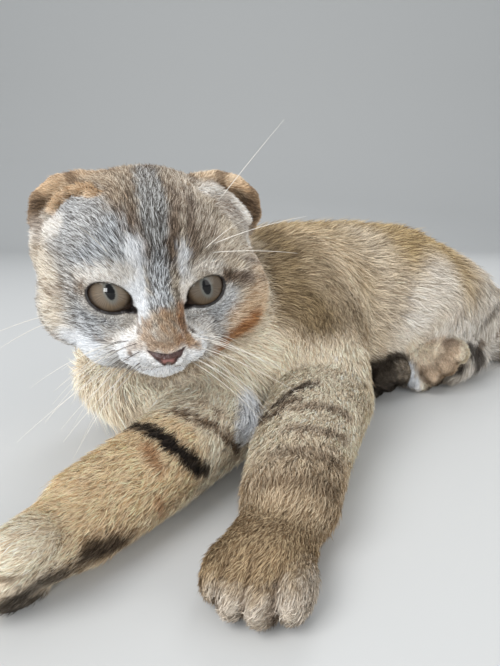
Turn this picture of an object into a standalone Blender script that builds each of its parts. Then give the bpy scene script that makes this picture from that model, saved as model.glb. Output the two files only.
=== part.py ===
"""A Scottish Fold kitten, life size, lying on the floor with both forelegs stretched out.

Metres, +Z up. The solids reach to the outline of the coat. Rounded masses are melted into one
body and one head, and thin cuts then part these into neck, torso, legs, paws, tail, ears and nose.
"""

import math
from collections import namedtuple

import bmesh
import bpy
import numpy as np
from mathutils import Matrix, Vector
from mathutils.bvhtree import BVHTree

MM = 0.001
GAP = 0.3
HEAD_GRAIN = 0.9
BODY_GRAIN = 1.6
HEAD_FACES = 5700
BODY_FACES = 5700
FINENESS = 0.0005

# The middle of the kitten's box, measured like every floor place from the mark under the eye
# that looks at it: millimetres to the right, away and up.
BOX_MIDDLE = (83.1, 240.4, 0.0)

Mass = namedtuple("Mass", "distance low high")
Sleeve = namedtuple("Sleeve", "name start end start_radius end_radius width")


class Frame:
    """A place with forward, left and up directions, turned by heading, pitch and roll in degrees."""

    def __init__(self, origin, heading, pitch=0.0, roll=0.0):
        h, p, r = (math.radians(a) for a in (heading, pitch, roll))
        forward = np.array([math.cos(h) * math.cos(p), math.sin(h) * math.cos(p), math.sin(p)])
        left = np.array([-math.sin(h), math.cos(h), 0.0])
        up = np.cross(forward, left)
        tilted_left = left * math.cos(r) + up * math.sin(r)
        tilted_up = up * math.cos(r) - left * math.sin(r)
        self.origin = np.array(origin, float)
        self.axes = np.array([forward, tilted_left, tilted_up])

    def place(self, point):
        """The outer place of a point given in this frame."""
        return self.origin + np.asarray(point, float) @ self.axes

    def local(self, points):
        """Outer points seen from this frame."""
        return (points - self.origin) @ self.axes.T

    def child(self, point, heading=0.0, pitch=0.0, roll=0.0):
        """A frame set in this one and turned with it."""
        made = Frame((0.0, 0.0, 0.0), heading, pitch, roll)
        made.origin = self.place(point)
        made.axes = made.axes @ self.axes
        return made

    def matrix(self):
        """The same frame for Blender objects, in metres, with forward, left and up as X, Y and Z."""
        turn = Matrix(self.axes.T.tolist()).to_4x4()
        return Matrix.Translation(Vector(self.origin * MM)) @ turn


FLOOR = Frame((-BOX_MIDDLE[0], -BOX_MIDDLE[1], -BOX_MIDDLE[2]), heading=0.0)


def ball(frame, centre, radii):
    """An ellipsoid whose radii run along the frame's forward, left and up."""
    centre = np.array(centre, float)
    radii = np.array(radii, float)
    middle = frame.place(centre)
    reach = float(radii.max())

    def distance(points):
        q = frame.local(points) - centre
        k0 = np.linalg.norm(q / radii, axis=-1)
        k1 = np.linalg.norm(q / radii**2, axis=-1)
        return k0 * (k0 - 1.0) / np.maximum(k1, 1e-6)

    return Mass(distance, middle - reach, middle + reach)


def limb(frame, points, radii):
    """A chain of tapered round lengths through the points."""
    points = np.array([frame.place(p) for p in points])
    radii = np.array(radii, float)

    def distance(q):
        best = np.full(q.shape[:-1], 1000.0)
        for a, b, ra, rb in zip(points, points[1:], radii, radii[1:]):
            along = b - a
            t = np.clip((q - a) @ along / (along @ along), 0.0, 1.0)
            away = np.linalg.norm(q - a - t[..., None] * along, axis=-1)
            best = np.minimum(best, away - (ra + (rb - ra) * t))
        return best

    reach = radii[:, None]
    return Mass(distance, (points - reach).min(0), (points + reach).max(0))


# The corners of a cell are numbered 0 to 7. These go round its six sides, and across its middle.
FACE_CORNERS = (
    (0, 1, 3, 2),
    (4, 5, 7, 6),
    (0, 1, 5, 4),
    (2, 3, 7, 6),
    (0, 2, 6, 4),
    (1, 3, 7, 5),
)
OPPOSITE_CORNERS = ((0, 7), (1, 6), (2, 5), (3, 4))


class Clay:
    """A block of space sampled on a grid, in which masses are added and carved with soft joins."""

    def __init__(self, low, high, grain):
        self.low = np.array(low, float)
        self.grain = grain
        self.count = np.ceil((np.array(high, float) - self.low) / grain).astype(int) + 1
        self.field = np.full(self.count, 50.0)

    def window(self, mass, margin):
        """The part of the grid that a mass can change, and its sample points."""
        first = np.floor((mass.low - margin - self.low) / self.grain).astype(int)
        last = np.ceil((mass.high + margin - self.low) / self.grain).astype(int) + 1
        first = np.clip(first, 0, self.count)
        last = np.clip(last, 0, self.count)
        axes = [self.low[i] + self.grain * np.arange(first[i], last[i]) for i in range(3)]
        points = np.stack(np.meshgrid(*axes, indexing="ij"), axis=-1)
        return tuple(slice(a, b) for a, b in zip(first, last)), points

    def add(self, mass, blend):
        """Melt a mass in, with a fillet about as wide as the blend."""
        where, points = self.window(mass, blend + 2 * self.grain)
        old, new = self.field[where], mass.distance(points)
        h = np.clip(0.5 + 0.5 * (old - new) / blend, 0.0, 1.0)
        self.field[where] = old + (new - old) * h - blend * h * (1.0 - h)

    def carve(self, mass, blend):
        """Take a mass away, with a rounded edge about as wide as the blend."""
        where, points = self.window(mass, blend + 2 * self.grain)
        old, new = self.field[where], mass.distance(points)
        h = np.clip(0.5 - 0.5 * (old + new) / blend, 0.0, 1.0)
        self.field[where] = old + (-new - old) * h + blend * h * (1.0 - h)

    def settle(self, field):
        """Fill the cells in which two surfaces would touch each other along an edge or at a point."""
        corners = [tuple(slice(s, s - 1 or None) for s in start) for start in np.ndindex(2, 2, 2)]
        while True:
            inside = field < 0.0
            full = np.stack([inside[corner] for corner in corners])
            touching = np.zeros(full.shape[1:], bool)
            for a, b, c, d in FACE_CORNERS:
                touching |= (full[a] == full[c]) & (full[b] == full[d]) & (full[a] != full[b])
            filled = full.sum(0)
            for a, b in OPPOSITE_CORNERS:
                touching |= (filled == 2) & full[a] & full[b]
                touching |= (filled == 6) & ~full[a] & ~full[b]
            if not touching.any():
                return
            for corner in corners:
                part = field[corner]
                part[touching & (part >= 0.0)] = -0.05 * self.grain

    def surface(self):
        """Points and faces of the zero surface: one point per crossed cell, one face per edge."""
        field = self.field.copy()
        for axis in range(3):
            for end in (0, -1):
                wall = [slice(None)] * 3
                wall[axis] = end
                field[tuple(wall)] = np.maximum(field[tuple(wall)], self.grain)
        self.settle(field)
        inside = field < 0.0
        cells, places, quads = [], [], []
        for axis in range(3):
            b, c = (axis + 1) % 3, (axis + 2) % 3
            near, far = [slice(None)] * 3, [slice(None)] * 3
            near[axis], far[axis] = slice(0, -1), slice(1, None)
            edge = np.argwhere(inside[tuple(near)] != inside[tuple(far)])
            beyond = edge.copy()
            beyond[:, axis] += 1
            start, end = field[tuple(edge.T)], field[tuple(beyond.T)]
            crossing = edge.astype(float)
            crossing[:, axis] += start / (start - end)
            ring = []
            for db, dc in ((-1, -1), (0, -1), (0, 0), (-1, 0)):
                cell = edge.copy()
                cell[:, b] += db
                cell[:, c] += dc
                index = np.ravel_multi_index(tuple(cell.T), field.shape)
                ring.append(index)
                cells.append(index)
                places.append(crossing)
            ring = np.stack(ring, axis=1)
            quads.append(np.where((start < 0.0)[:, None], ring, ring[:, ::-1]))
        cells, places, quads = (np.concatenate(part) for part in (cells, places, quads))
        used, index = np.unique(cells, return_inverse=True)
        total = np.bincount(index)[:, None]
        points = np.stack([np.bincount(index, places[:, i]) for i in range(3)], axis=1) / total
        return self.low + self.grain * points, np.searchsorted(used, quads)


# Tools that work on Blender objects.

def new_object(name, mesh):
    made = bpy.data.objects.new(name, mesh)
    bpy.context.scene.collection.objects.link(made)
    return made


def apply_modifiers(thing):
    """Keep the shape that an object's modifiers give, as plain mesh."""
    seen = thing.evaluated_get(bpy.context.evaluated_depsgraph_get())
    mesh = bpy.data.meshes.new_from_object(seen)
    thing.modifiers.clear()
    thing.data = mesh


def cast(clay, name, faces, fine_places):
    """The clay's surface with about so many triangles, smallest near the fine places."""
    points, quads = clay.surface()
    mesh = bpy.data.meshes.new(name)
    mesh.from_pydata((points * MM).tolist(), [], quads.tolist())
    made = new_object(name, mesh)
    away = np.full(len(points), 1000.0)
    for place, radius in fine_places:
        away = np.minimum(away, np.linalg.norm(points - place, axis=1) / radius)
    plainness = np.round(np.clip(away - 0.6, 0.1, 1.0), 1)
    group = made.vertex_groups.new(name="plain")
    for weight in np.unique(plainness):
        group.add(np.flatnonzero(plainness == weight).tolist(), float(weight), "REPLACE")
    thin = made.modifiers.new("thin", "DECIMATE")
    thin.ratio = faces / (2 * len(quads))
    thin.vertex_group = "plain"
    thin.vertex_group_factor = FINENESS
    apply_modifiers(made)
    made.vertex_groups.clear()
    return made


def boolean(thing, cutter, operation):
    """Cut the thing with the cutter, or keep only what lies in it, and drop loose scraps."""
    step = thing.modifiers.new("step", "BOOLEAN")
    step.operation = operation
    step.object = cutter
    apply_modifiers(thing)
    keep_largest(thing)


def keep_largest(thing):
    """Leave only the closed surface with the most faces."""
    bm = bmesh.new()
    bm.from_mesh(thing.data)
    bm.verts.ensure_lookup_table()
    unseen = set(bm.verts)
    shells = []
    while unseen:
        shell = {unseen.pop()}
        edge_of = list(shell)
        while edge_of:
            vert = edge_of.pop()
            for edge in vert.link_edges:
                other = edge.other_vert(vert)
                if other in unseen:
                    unseen.remove(other)
                    shell.add(other)
                    edge_of.append(other)
        shells.append(shell)
    shells.sort(key=len)
    for shell in shells[:-1]:
        bmesh.ops.delete(bm, geom=list(shell), context="VERTS")
    bm.to_mesh(thing.data)
    bm.free()


def sphere_mesh(name, frame, centre, radii, segments=20, rings=11):
    """An ellipsoid object with its poles on the frame's forward line."""
    mesh = bpy.data.meshes.new(name)
    bm = bmesh.new()
    bmesh.ops.create_uvsphere(bm, u_segments=segments, v_segments=rings, radius=1.0)
    size = Matrix.Diagonal((radii[0] * MM, radii[1] * MM, radii[2] * MM, 1.0))
    on_forward = Matrix.Rotation(math.radians(90.0), 4, "Y")
    shift = Matrix.Translation(Vector(centre) * MM)
    bm.transform(frame.matrix() @ shift @ size @ on_forward)
    bm.to_mesh(mesh)
    bm.free()
    return new_object(name, mesh)


def sleeve_mesh(frame, sleeve, grown=0.0):
    """A round sleeve between two points, grown all round by a few tenths of a millimetre."""
    start = Vector(frame.place(sleeve.start))
    end = Vector(frame.place(sleeve.end))
    along = (end - start).normalized()
    side = Vector(frame.axes[1])
    side = (side - along * side.dot(along)).normalized()
    turn = Matrix((side, along.cross(side), along)).transposed().to_4x4()
    length = (end - start).length
    mesh = bpy.data.meshes.new(sleeve.name)
    bm = bmesh.new()
    bmesh.ops.create_cone(
        bm, cap_ends=True, segments=32,
        radius1=sleeve.start_radius + grown, radius2=sleeve.end_radius + grown,
        depth=length + 2 * grown)
    wide = Matrix.Diagonal((sleeve.width, 1.0, 1.0, 1.0))
    bm.transform(Matrix.Scale(MM, 4) @ Matrix.Translation((start + end) / 2) @ turn @ wide)
    bm.to_mesh(mesh)
    bm.free()
    return new_object(sleeve.name + "_cutter", mesh)


def box_mesh(name, low, high):
    mesh = bpy.data.meshes.new(name)
    bm = bmesh.new()
    bmesh.ops.create_cube(bm, size=1.0)
    size = Vector(high) - Vector(low)
    middle = (Vector(high) + Vector(low)) / 2
    bm.transform(Matrix.Scale(MM, 4) @ Matrix.Translation(middle) @ Matrix.Diagonal((*size, 1.0)))
    bm.to_mesh(mesh)
    bm.free()
    return new_object(name, mesh)


def remove(*things):
    for thing in things:
        bpy.data.objects.remove(thing)


def duplicate(thing, name):
    return new_object(name, thing.data.copy())


def part_off(whole, name, region, grown_region):
    """A new object from what lies in the region, with a thin gap left round it."""
    piece = duplicate(whole, name)
    boolean(piece, region, "INTERSECT")
    boolean(whole, grown_region, "DIFFERENCE")
    remove(region, grown_region)
    return piece


def tube_mesh(name, places, radius):
    """A thin round tube through the places, to cut a line with."""
    curve = bpy.data.curves.new(name, "CURVE")
    curve.dimensions = "3D"
    curve.bevel_depth = radius * MM
    curve.bevel_resolution = 1
    curve.use_fill_caps = True
    spline = curve.splines.new("POLY")
    spline.points.add(len(places) - 1)
    for point, place in zip(spline.points, places):
        point.co = (*place, 1.0)
    line = new_object(name + "_line", curve)
    mesh = bpy.data.meshes.new_from_object(line.evaluated_get(bpy.context.evaluated_depsgraph_get()))
    remove(line)
    return new_object(name, mesh)


def part_sleeve(whole, frame, sleeve):
    return part_off(whole, sleeve.name, sleeve_mesh(frame, sleeve), sleeve_mesh(frame, sleeve, GAP))


def both_sides(point):
    """A place on the left and the same place on the right, with the side's sign."""
    f, l, u = point
    return ((1.0, (f, l, u)), (-1.0, (f, -l, u)))


# The head, in millimetres forward, left and up of the point between the eyeballs.

HEAD = FLOOR.child((-31.0, 164.0, 71.3), heading=-72.5, pitch=-6.6, roll=1.6)

EYE_PLACE = (0.0, 13.8, 1.4)
EYE_RADIUS = 9.4
LID_RADIUS = 10.8
LID_OPENING = (25.0, 8.8, 6.0)
EYE_TURN_OUT = 10.0
LID_SLANT = 18.0
NOSE_PLACE = (19.2, 0.0, -15.4)
NOSE_SIZE = (3.4, 5.2, 3.2)
EAR_BAND = (
    (-27.0, 15.9, 31.3),
    (-29.5, 23.8, 32.0),
    (-31.0, 30.9, 30.2),
    (-31.5, 36.3, 25.8),
    (-31.0, 37.9, 20.8),
    (-30.5, 36.2, 15.5),
)
EAR_BAND_RADII = (4.2, 4.9, 5.4, 5.4, 4.6, 3.2)
EAR_HOLLOW = ((-25.5, 21.8, 30.6), (-26.0, 28.8, 27.4), (-26.5, 33.7, 21.5))
EAR_HOLLOW_RADII = (0.9, 2.1, 3.3)
EAR_SPREAD = 3.7
EAR_ROOT = (-29.0, 33.0, 29.5)
EAR_CUT = (11.0, 22.0, 18.0)
NOSTRIL = (22.6, 2.9, -15.8)
NOSTRIL_SIZE = (2.0, 1.3, 0.7)
MOUTH = ((0.0, -19.6), (3.0, -21.3), (6.5, -22.6), (10.0, -22.4), (13.5, -20.6))
MOUTH_RADIUS = 0.7


def eye_frame(side):
    """A frame in the eyeball, looking a little outwards, with the lids' slant as its roll."""
    f, l, u = EYE_PLACE
    return HEAD.child((f, side * l, u), heading=side * EYE_TURN_OUT, roll=side * LID_SLANT)


def on_ear(side, points):
    """Ear points on one side. The kitten spreads its left ear a little more than its right."""
    spread = side * EAR_SPREAD
    return [(f, side * (l + spread), u) for f, l, u in points]


def ear_frame(side):
    """A frame on the root of an ear, with forward pointing straight out of the skull."""
    return HEAD.child(on_ear(side, [EAR_ROOT])[0], heading=side * 95.0, pitch=32.0)


def add_skull(clay):
    clay.add(ball(HEAD, (-26, 0, 8.5), (35, 37, 32)), 4)
    clay.add(ball(HEAD, (-8, 0, 13), (18, 25, 17)), 10)
    for side, place in both_sides((-20, 22.5, -8.5)):
        clay.add(ball(HEAD, place, (21, 18.5, 17)), 10)
    for side, place in both_sides((-3, 13, -16)):
        clay.add(ball(HEAD, place, (13, 12, 10)), 8)
    clay.add(limb(HEAD, [(-6, 0, -21.5), (5, 0, -21)], (12, 7.5)), 8)


def add_muzzle(clay):
    clay.add(limb(HEAD, [(0, 0, 2), (9, 0, -4.5), (15.5, 0, -10)], (9, 8, 6.4)), 6)
    for side, place in both_sides((11.8, 6.2, -15.2)):
        clay.add(ball(HEAD, place, (7.6, 7.8, 6.2)), 3)
    clay.add(ball(HEAD, (8, 0, -21.3), (6.6, 8.4, 4.8)), 3)
    clay.add(ball(HEAD, NOSE_PLACE, NOSE_SIZE), 2)


def add_lids(clay):
    for side in (1.0, -1.0):
        eye = eye_frame(side)
        clay.add(ball(eye, (0, 0, 0), (LID_RADIUS, LID_RADIUS, LID_RADIUS)), 4)
        clay.carve(ball(eye, (22, 0, -0.2), LID_OPENING), 1)


def add_ears(clay):
    for side in (1.0, -1.0):
        root = on_ear(side, [(-22.5, 25.5, 23.8)])[0]
        flap = HEAD.child(root, heading=side * 62.0, pitch=38.0)
        clay.add(limb(HEAD, on_ear(side, EAR_BAND), EAR_BAND_RADII), 3)
        clay.add(ball(flap, (0, 0, 0), (2.6, 14, 11)), 2.5)
        clay.carve(limb(HEAD, on_ear(side, EAR_HOLLOW), EAR_HOLLOW_RADII), 1.2)


# The body, in millimetres right, away and up from the floor mark under the watching eye.

BACK = (
    (-8, 238, 48, 38),
    (18, 259, 50.5, 41.5),
    (51, 286, 52.5, 40),
    (83, 309, 51.5, 39),
    (107, 327, 41, 39.5),
    (126, 341, 32, 37),
    (142, 351, 27, 32),
    (154, 357, 23, 27),
)
RUMP = ((116, 342, 33, 36), (142, 354, 24, 29))
FAR_HAUNCH = ((132, 354, 27, 27), (108, 353, 22, 22), (84, 343, 16, 17))
FAR_SHOULDER = ((-22, 252, 62, 27), (-14, 268, 48, 27))
BELLY = (
    (0, 246, 34, 33),
    (50, 284, 36, 37),
    (92, 314, 35, 36),
    (122, 338, 32, 35),
)
CHEST = ((-12, 222, 35, 35), (-12, 223, 35, 35))
RUFF = ((-30, 208, 38, 23), (-14, 206, 34, 25))
NECK = ((-34, 196, 60, 27), (4, 234, 50, 34))
TAIL = (
    (146, 350, 26, 27),
    (168, 334, 23, 23.5),
    (190, 320, 17.5, 18),
    (214, 300, 14.5, 15),
    (229, 274, 12.5, 13),
    (233, 247, 11, 11.5),
    (229, 226, 9.5, 9),
)
LEFT_FORELEG = (
    (26, 250, 58, 27),
    (27, 228, 42, 27),
    (30, 196, 22, 20.5),
    (18, 160, 17, 17.5),
    (12, 134, 14, 15),
)
RIGHT_FORELEG = (
    (-27, 248, 46, 27),
    (-24, 216, 38, 24),
    (-14, 178, 20, 18),
    (-30, 150, 16, 15.5),
    (-45, 127, 14, 13.5),
)
RIGHT_UPPER_ARM = ((-53, 214, 30, 24), (-37, 203, 30, 25), (-18, 184, 22, 19))
LEFT_PAW = FLOOR.child((4, 112, 9.5), heading=-112.0)
RIGHT_PAW = FLOOR.child((-54, 111, 13), heading=-133.0, roll=62.0)
LEFT_THIGH = ((130, 328, 34, 31), (112, 298, 29, 22))
LEFT_SHANK = ((112, 298, 26, 15), (132, 294, 15, 12), (116, 280, 14, 13))
LEFT_HINDPAW = FLOOR.child((105, 274, 16), heading=-108.0, roll=46.0)
RIGHT_SHANK = ((122, 308, 15, 14), (90, 276, 12, 12))
RIGHT_HINDPAW = FLOOR.child((72, 261, 12.5), heading=-120.0, roll=32.0)


def chain(points):
    """A limb whose points carry their own radius as a fourth number."""
    return limb(FLOOR, [p[:3] for p in points], [p[3] for p in points])


def add_trunk(clay):
    clay.add(chain(BACK), 10)
    clay.add(chain(BELLY), 16)
    clay.add(chain(RUMP), 12)
    clay.add(chain(FAR_HAUNCH), 9)
    clay.add(chain(FAR_SHOULDER), 10)
    clay.add(chain(CHEST), 14)
    clay.add(chain(RIGHT_UPPER_ARM), 12)
    clay.add(chain(RUFF), 12)
    clay.add(chain(NECK), 9)


def add_foot(clay, frame, size=1.0, toe_long=9.0, toe_tall=6.8):
    """Four toes and the ball of the foot."""
    clay.add(ball(frame, (-3 * size, 0, 0.5), (14 * size, 12 * size, 9 * size)), 5)
    for toe, forward, wide in ((3.4, 8.0, 4.9), (9.6, 4.5, 4.6)):
        for side, place in both_sides((forward * size, toe * size, -2)):
            clay.add(ball(frame, place, (toe_long * size, wide * size, toe_tall * size)), 2.5)


def add_forelegs(clay):
    clay.add(chain(LEFT_FORELEG), 8)
    clay.add(chain(RIGHT_FORELEG), 8)
    add_foot(clay, LEFT_PAW, 1.03)
    add_foot(clay, RIGHT_PAW)


def add_hind_legs(clay):
    clay.add(chain(LEFT_THIGH), 10)
    clay.add(chain(LEFT_SHANK), 6)
    add_foot(clay, LEFT_HINDPAW, 1.33, toe_long=8.0, toe_tall=5.4)
    clay.add(chain(RIGHT_SHANK), 5)
    add_foot(clay, RIGHT_HINDPAW, 1.1)


def add_everything(clay):
    add_trunk(clay)
    clay.add(chain(TAIL), 8)
    add_forelegs(clay)
    add_hind_legs(clay)
    add_skull(clay)
    add_muzzle(clay)
    add_lids(clay)
    add_ears(clay)


# Where the thin cuts run. A node is what lies in its sleeve.

HEAD_SLEEVE = Sleeve("head", (-40, 0, -11), (10, 0, 46), 38, 88, 1.05)
NECK_SLEEVE = Sleeve("neck", (-53, 0, -25), (10, 0, 46), 42, 90, 1.05)
BODY_SLEEVES = (
    Sleeve("forepaw_left", (12, 131, 13), (-5, 88, 8), 22, 26, 1.0),
    Sleeve("foreleg_left", (30, 203, 26), (10, 124, 12), 23, 21, 1.0),
    Sleeve("forepaw_right", (-44, 128, 14), (-76, 90, 12), 21, 26, 1.0),
    Sleeve("foreleg_right", (-14, 186, 24), (-49, 119, 12), 22, 19, 1.0),
    Sleeve("hindpaw_left", (109, 283, 15), (97, 247, 14), 23, 25, 1.0),
    Sleeve("hindpaw_right", (77, 269, 11), (61, 241, 11), 18, 20, 1.0),
    Sleeve("hindleg_right", (132, 322, 8), (80, 265, 10), 15, 15, 1.0),
    Sleeve("hindleg_left", (114, 340, 36), (138, 282, 26), 36, 34, 1.0),
    Sleeve("tail_tip", (230, 274, 14), (231, 195, 12), 20, 20, 1.0),
    Sleeve("tail_middle", (196, 316, 18), (240, 254, 13), 25, 25, 1.0),
    Sleeve("tail_base", (162, 342, 25), (208, 307, 18), 28, 28, 1.0),
)


def make_head():
    """The head with its ears, lids and muzzle, cut from the neck."""
    middle = HEAD.place((-18, 0, 3))
    clay = Clay(middle - 64, middle + 64, HEAD_GRAIN)
    add_everything(clay)
    face = HEAD.place((5, 0, -6))
    ears = [ear_frame(side).origin for side in (1.0, -1.0)]
    head = cast(clay, "head", HEAD_FACES, [(face, 32.0)] + [(ear, 16.0) for ear in ears])
    region = sleeve_mesh(HEAD, HEAD_SLEEVE)
    boolean(head, region, "INTERSECT")
    remove(region)
    return head


def make_eyes(head):
    for side, name in ((1.0, "eye_left"), (-1.0, "eye_right")):
        eye = eye_frame(side)
        grown = EYE_RADIUS + GAP
        socket = sphere_mesh("socket", eye, (0, 0, 0), (grown, grown, grown))
        boolean(head, socket, "DIFFERENCE")
        remove(socket)
        sphere_mesh(name, eye, (0, 0, 0), (EYE_RADIUS, EYE_RADIUS, EYE_RADIUS))


def make_mouth(head):
    """The line of the mouth round both whisker pads, and the groove from it up to the nose."""
    skin = BVHTree.FromObject(head, bpy.context.evaluated_depsgraph_get())

    def on_face(left, up):
        start = Vector(HEAD.place((60.0, left, up))) * MM
        hit = skin.ray_cast(start, Vector(-HEAD.axes[0]))
        return hit[0]

    right_half = [on_face(-left, up) for left, up in MOUTH[:0:-1]]
    left_half = [on_face(left, up) for left, up in MOUTH]
    lips = tube_mesh("lips", right_half + left_half, MOUTH_RADIUS)
    groove = tube_mesh("groove", [on_face(0.0, up) for up in (-17.4, -18.6, -19.8)], MOUTH_RADIUS)
    for cutter in (lips, groove):
        boolean(head, cutter, "DIFFERENCE")
        remove(cutter)


def make_nose(head):
    """The nose leather with its two nostrils."""
    grown = tuple(size + 0.5 for size in NOSE_SIZE)
    wider = tuple(size + GAP for size in grown)
    region = sphere_mesh("region", HEAD, NOSE_PLACE, grown, segments=14, rings=8)
    grown_region = sphere_mesh("grown_region", HEAD, NOSE_PLACE, wider, segments=14, rings=8)
    nose = part_off(head, "nose", region, grown_region)
    for side, place in both_sides(NOSTRIL):
        hole = sphere_mesh("hole", HEAD, place, NOSTRIL_SIZE, segments=10, rings=6)
        boolean(nose, hole, "DIFFERENCE")
        remove(hole)


def make_ears(head):
    for side, name in ((1.0, "ear_left"), (-1.0, "ear_right")):
        frame = ear_frame(side)
        region = sphere_mesh("region", frame, (0, 0, 0), EAR_CUT)
        grown_region = sphere_mesh("grown_region", frame, (0, 0, 0), tuple(r + GAP for r in EAR_CUT))
        part_off(head, name, region, grown_region)


def make_body():
    """The body on its flats, cut from the head and parted into its nodes."""
    clay = Clay(FLOOR.place((-90, 60, -6)), FLOOR.place((290, 400, 130)), BODY_GRAIN)
    add_everything(clay)
    paws = [(paw.origin, 36.0) for paw in (LEFT_PAW, RIGHT_PAW, LEFT_HINDPAW, RIGHT_HINDPAW)]
    body = cast(clay, "torso", BODY_FACES, paws)
    ground = box_mesh("ground", FLOOR.place((-200, -100, -60)), FLOOR.place((400, 500, 0)))
    boolean(body, ground, "DIFFERENCE")
    remove(ground)
    grown_region = sleeve_mesh(HEAD, HEAD_SLEEVE, GAP)
    boolean(body, grown_region, "DIFFERENCE")
    remove(grown_region)
    part_sleeve(body, HEAD, NECK_SLEEVE)
    for sleeve in BODY_SLEEVES:
        part_sleeve(body, FLOOR, sleeve)
    return body


FUR = (0.36, 0.25, 0.15)
PALE_FUR = (0.62, 0.53, 0.42)
COLOURS = {
    "head": (0.45, 0.37, 0.28),
    "ear_left": (0.5, 0.3, 0.15),
    "ear_right": (0.5, 0.3, 0.15),
    "eye_left": (0.3, 0.26, 0.14),
    "eye_right": (0.3, 0.26, 0.14),
    "nose": (0.3, 0.14, 0.11),
    "forepaw_left": PALE_FUR,
    "forepaw_right": PALE_FUR,
    "hindpaw_left": PALE_FUR,
    "hindpaw_right": (0.07, 0.055, 0.05),
}
EYE_ROUGHNESS = 0.05
NOSE_ROUGHNESS = 0.45
FUR_ROUGHNESS = 0.9


def finish():
    """Give each part its own material and smooth shading."""
    for thing in bpy.data.objects:
        material = bpy.data.materials.new(thing.name)
        material.use_nodes = True
        shader = material.node_tree.nodes["Principled BSDF"]
        roughness = FUR_ROUGHNESS
        if thing.name.startswith("eye"):
            roughness = EYE_ROUGHNESS
        elif thing.name == "nose":
            roughness = NOSE_ROUGHNESS
        shader.inputs["Base Color"].default_value = (*COLOURS.get(thing.name, FUR), 1.0)
        shader.inputs["Roughness"].default_value = roughness
        thing.data.materials.clear()
        thing.data.materials.append(material)
        thing.data.shade_smooth()
        thing.data.set_sharp_from_angle(angle=math.radians(40.0))


def clear():
    for thing in list(bpy.data.objects):
        bpy.data.objects.remove(thing)


def main():
    clear()
    head = make_head()
    make_eyes(head)
    make_mouth(head)
    make_nose(head)
    make_ears(head)
    make_body()
    finish()


main()
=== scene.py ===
"""The looks of a Scottish Fold kitten: one skin, a coat of fine tufts, eyes and whiskers.

Millimetres inside, metres for Blender. The masses of the body are those of the solids, drawn in by
the depth of the coat, and melted into one skin. The coat grows from that skin.
"""

import math
from collections import namedtuple

import bpy
import numpy as np
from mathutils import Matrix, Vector


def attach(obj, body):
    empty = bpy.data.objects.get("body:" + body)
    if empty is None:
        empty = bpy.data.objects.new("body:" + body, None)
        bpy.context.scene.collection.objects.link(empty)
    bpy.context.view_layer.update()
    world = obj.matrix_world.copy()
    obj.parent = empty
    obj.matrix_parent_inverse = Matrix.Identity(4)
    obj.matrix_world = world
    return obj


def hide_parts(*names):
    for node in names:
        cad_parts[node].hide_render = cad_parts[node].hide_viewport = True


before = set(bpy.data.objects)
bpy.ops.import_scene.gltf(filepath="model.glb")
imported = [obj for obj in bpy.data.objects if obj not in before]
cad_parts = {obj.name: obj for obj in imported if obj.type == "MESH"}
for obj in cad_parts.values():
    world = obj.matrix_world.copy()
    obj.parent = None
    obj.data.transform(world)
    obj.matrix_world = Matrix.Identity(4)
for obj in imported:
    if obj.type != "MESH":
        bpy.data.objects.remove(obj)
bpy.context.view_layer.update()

MM = 0.001
SEED = 11
COARSER = 1.0
HAIR_SHARE = 1.0
HAIRS_PER_PIECE = 64000

# The middle of the kitten's box, measured from the floor mark under the camera, to the right, away
# and up. The camera stands this high over that mark and looks down by this angle.
BOX_MIDDLE = np.array([83.1, 240.4, 0.0])
CAMERA_HEIGHT = 95.0
CAMERA_DOWN = 13.0
IMAGE_SIZE = (500, 666)

Mass = namedtuple("Mass", "distance low high blend carved")
Pelt = namedtuple("Pelt", "light dark share")
Stroke = namedtuple("Stroke", "pelt radius soft strength points")


class Frame:
    """A place with forward, left and up directions, turned by heading, pitch and roll in degrees."""

    def __init__(self, origin, heading, pitch=0.0, roll=0.0):
        h, p, r = (math.radians(a) for a in (heading, pitch, roll))
        forward = np.array([math.cos(h) * math.cos(p), math.sin(h) * math.cos(p), math.sin(p)])
        left = np.array([-math.sin(h), math.cos(h), 0.0])
        up = np.cross(forward, left)
        tilted_left = left * math.cos(r) + up * math.sin(r)
        tilted_up = up * math.cos(r) - left * math.sin(r)
        self.origin = np.array(origin, float)
        self.axes = np.array([forward, tilted_left, tilted_up])

    def place(self, point):
        """The outer place of a point given in this frame."""
        return self.origin + np.asarray(point, float) @ self.axes

    def local(self, points):
        """Outer points seen from this frame."""
        return (points - self.origin.astype(points.dtype)) @ self.axes.T.astype(points.dtype)

    def child(self, point, heading=0.0, pitch=0.0, roll=0.0):
        """A frame set in this one and turned with it."""
        made = Frame((0.0, 0.0, 0.0), heading, pitch, roll)
        made.origin = self.place(point)
        made.axes = made.axes @ self.axes
        return made


FLOOR = Frame(-BOX_MIDDLE, heading=0.0)


# Small helpers on arrays of numbers.

def smoothstep(low, high, value):
    t = np.clip((value - low) / (high - low), 0.0, 1.0)
    return t * t * (3.0 - 2.0 * t)


def unit(vectors):
    return vectors / np.maximum(np.linalg.norm(vectors, axis=-1, keepdims=True), 1e-9)


def ripple(points, size, seed):
    """A soft random value from about -1 to 1, with swells about this many millimetres long."""
    draw = np.random.default_rng(seed)
    total = np.zeros(points.shape[:-1])
    for turn in range(7):
        way = unit(draw.normal(size=3)) * (2.0 * math.pi / size) * draw.uniform(0.6, 1.5)
        total += np.sin(points @ way + draw.uniform(0.0, 2.0 * math.pi))
    return total / 3.0


def line_distance(points, line):
    """Distance from each point to the nearest place on a line of straight lengths."""
    line = np.asarray(line, float)
    if len(line) == 1:
        return np.linalg.norm(points - line[0], axis=-1)
    best = np.full(points.shape[:-1], 1000.0)
    for a, b in zip(line, line[1:]):
        along = b - a
        t = np.clip((points - a) @ along / (along @ along), 0.0, 1.0)
        best = np.minimum(best, np.linalg.norm(points - a - t[..., None] * along, axis=-1))
    return best


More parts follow.
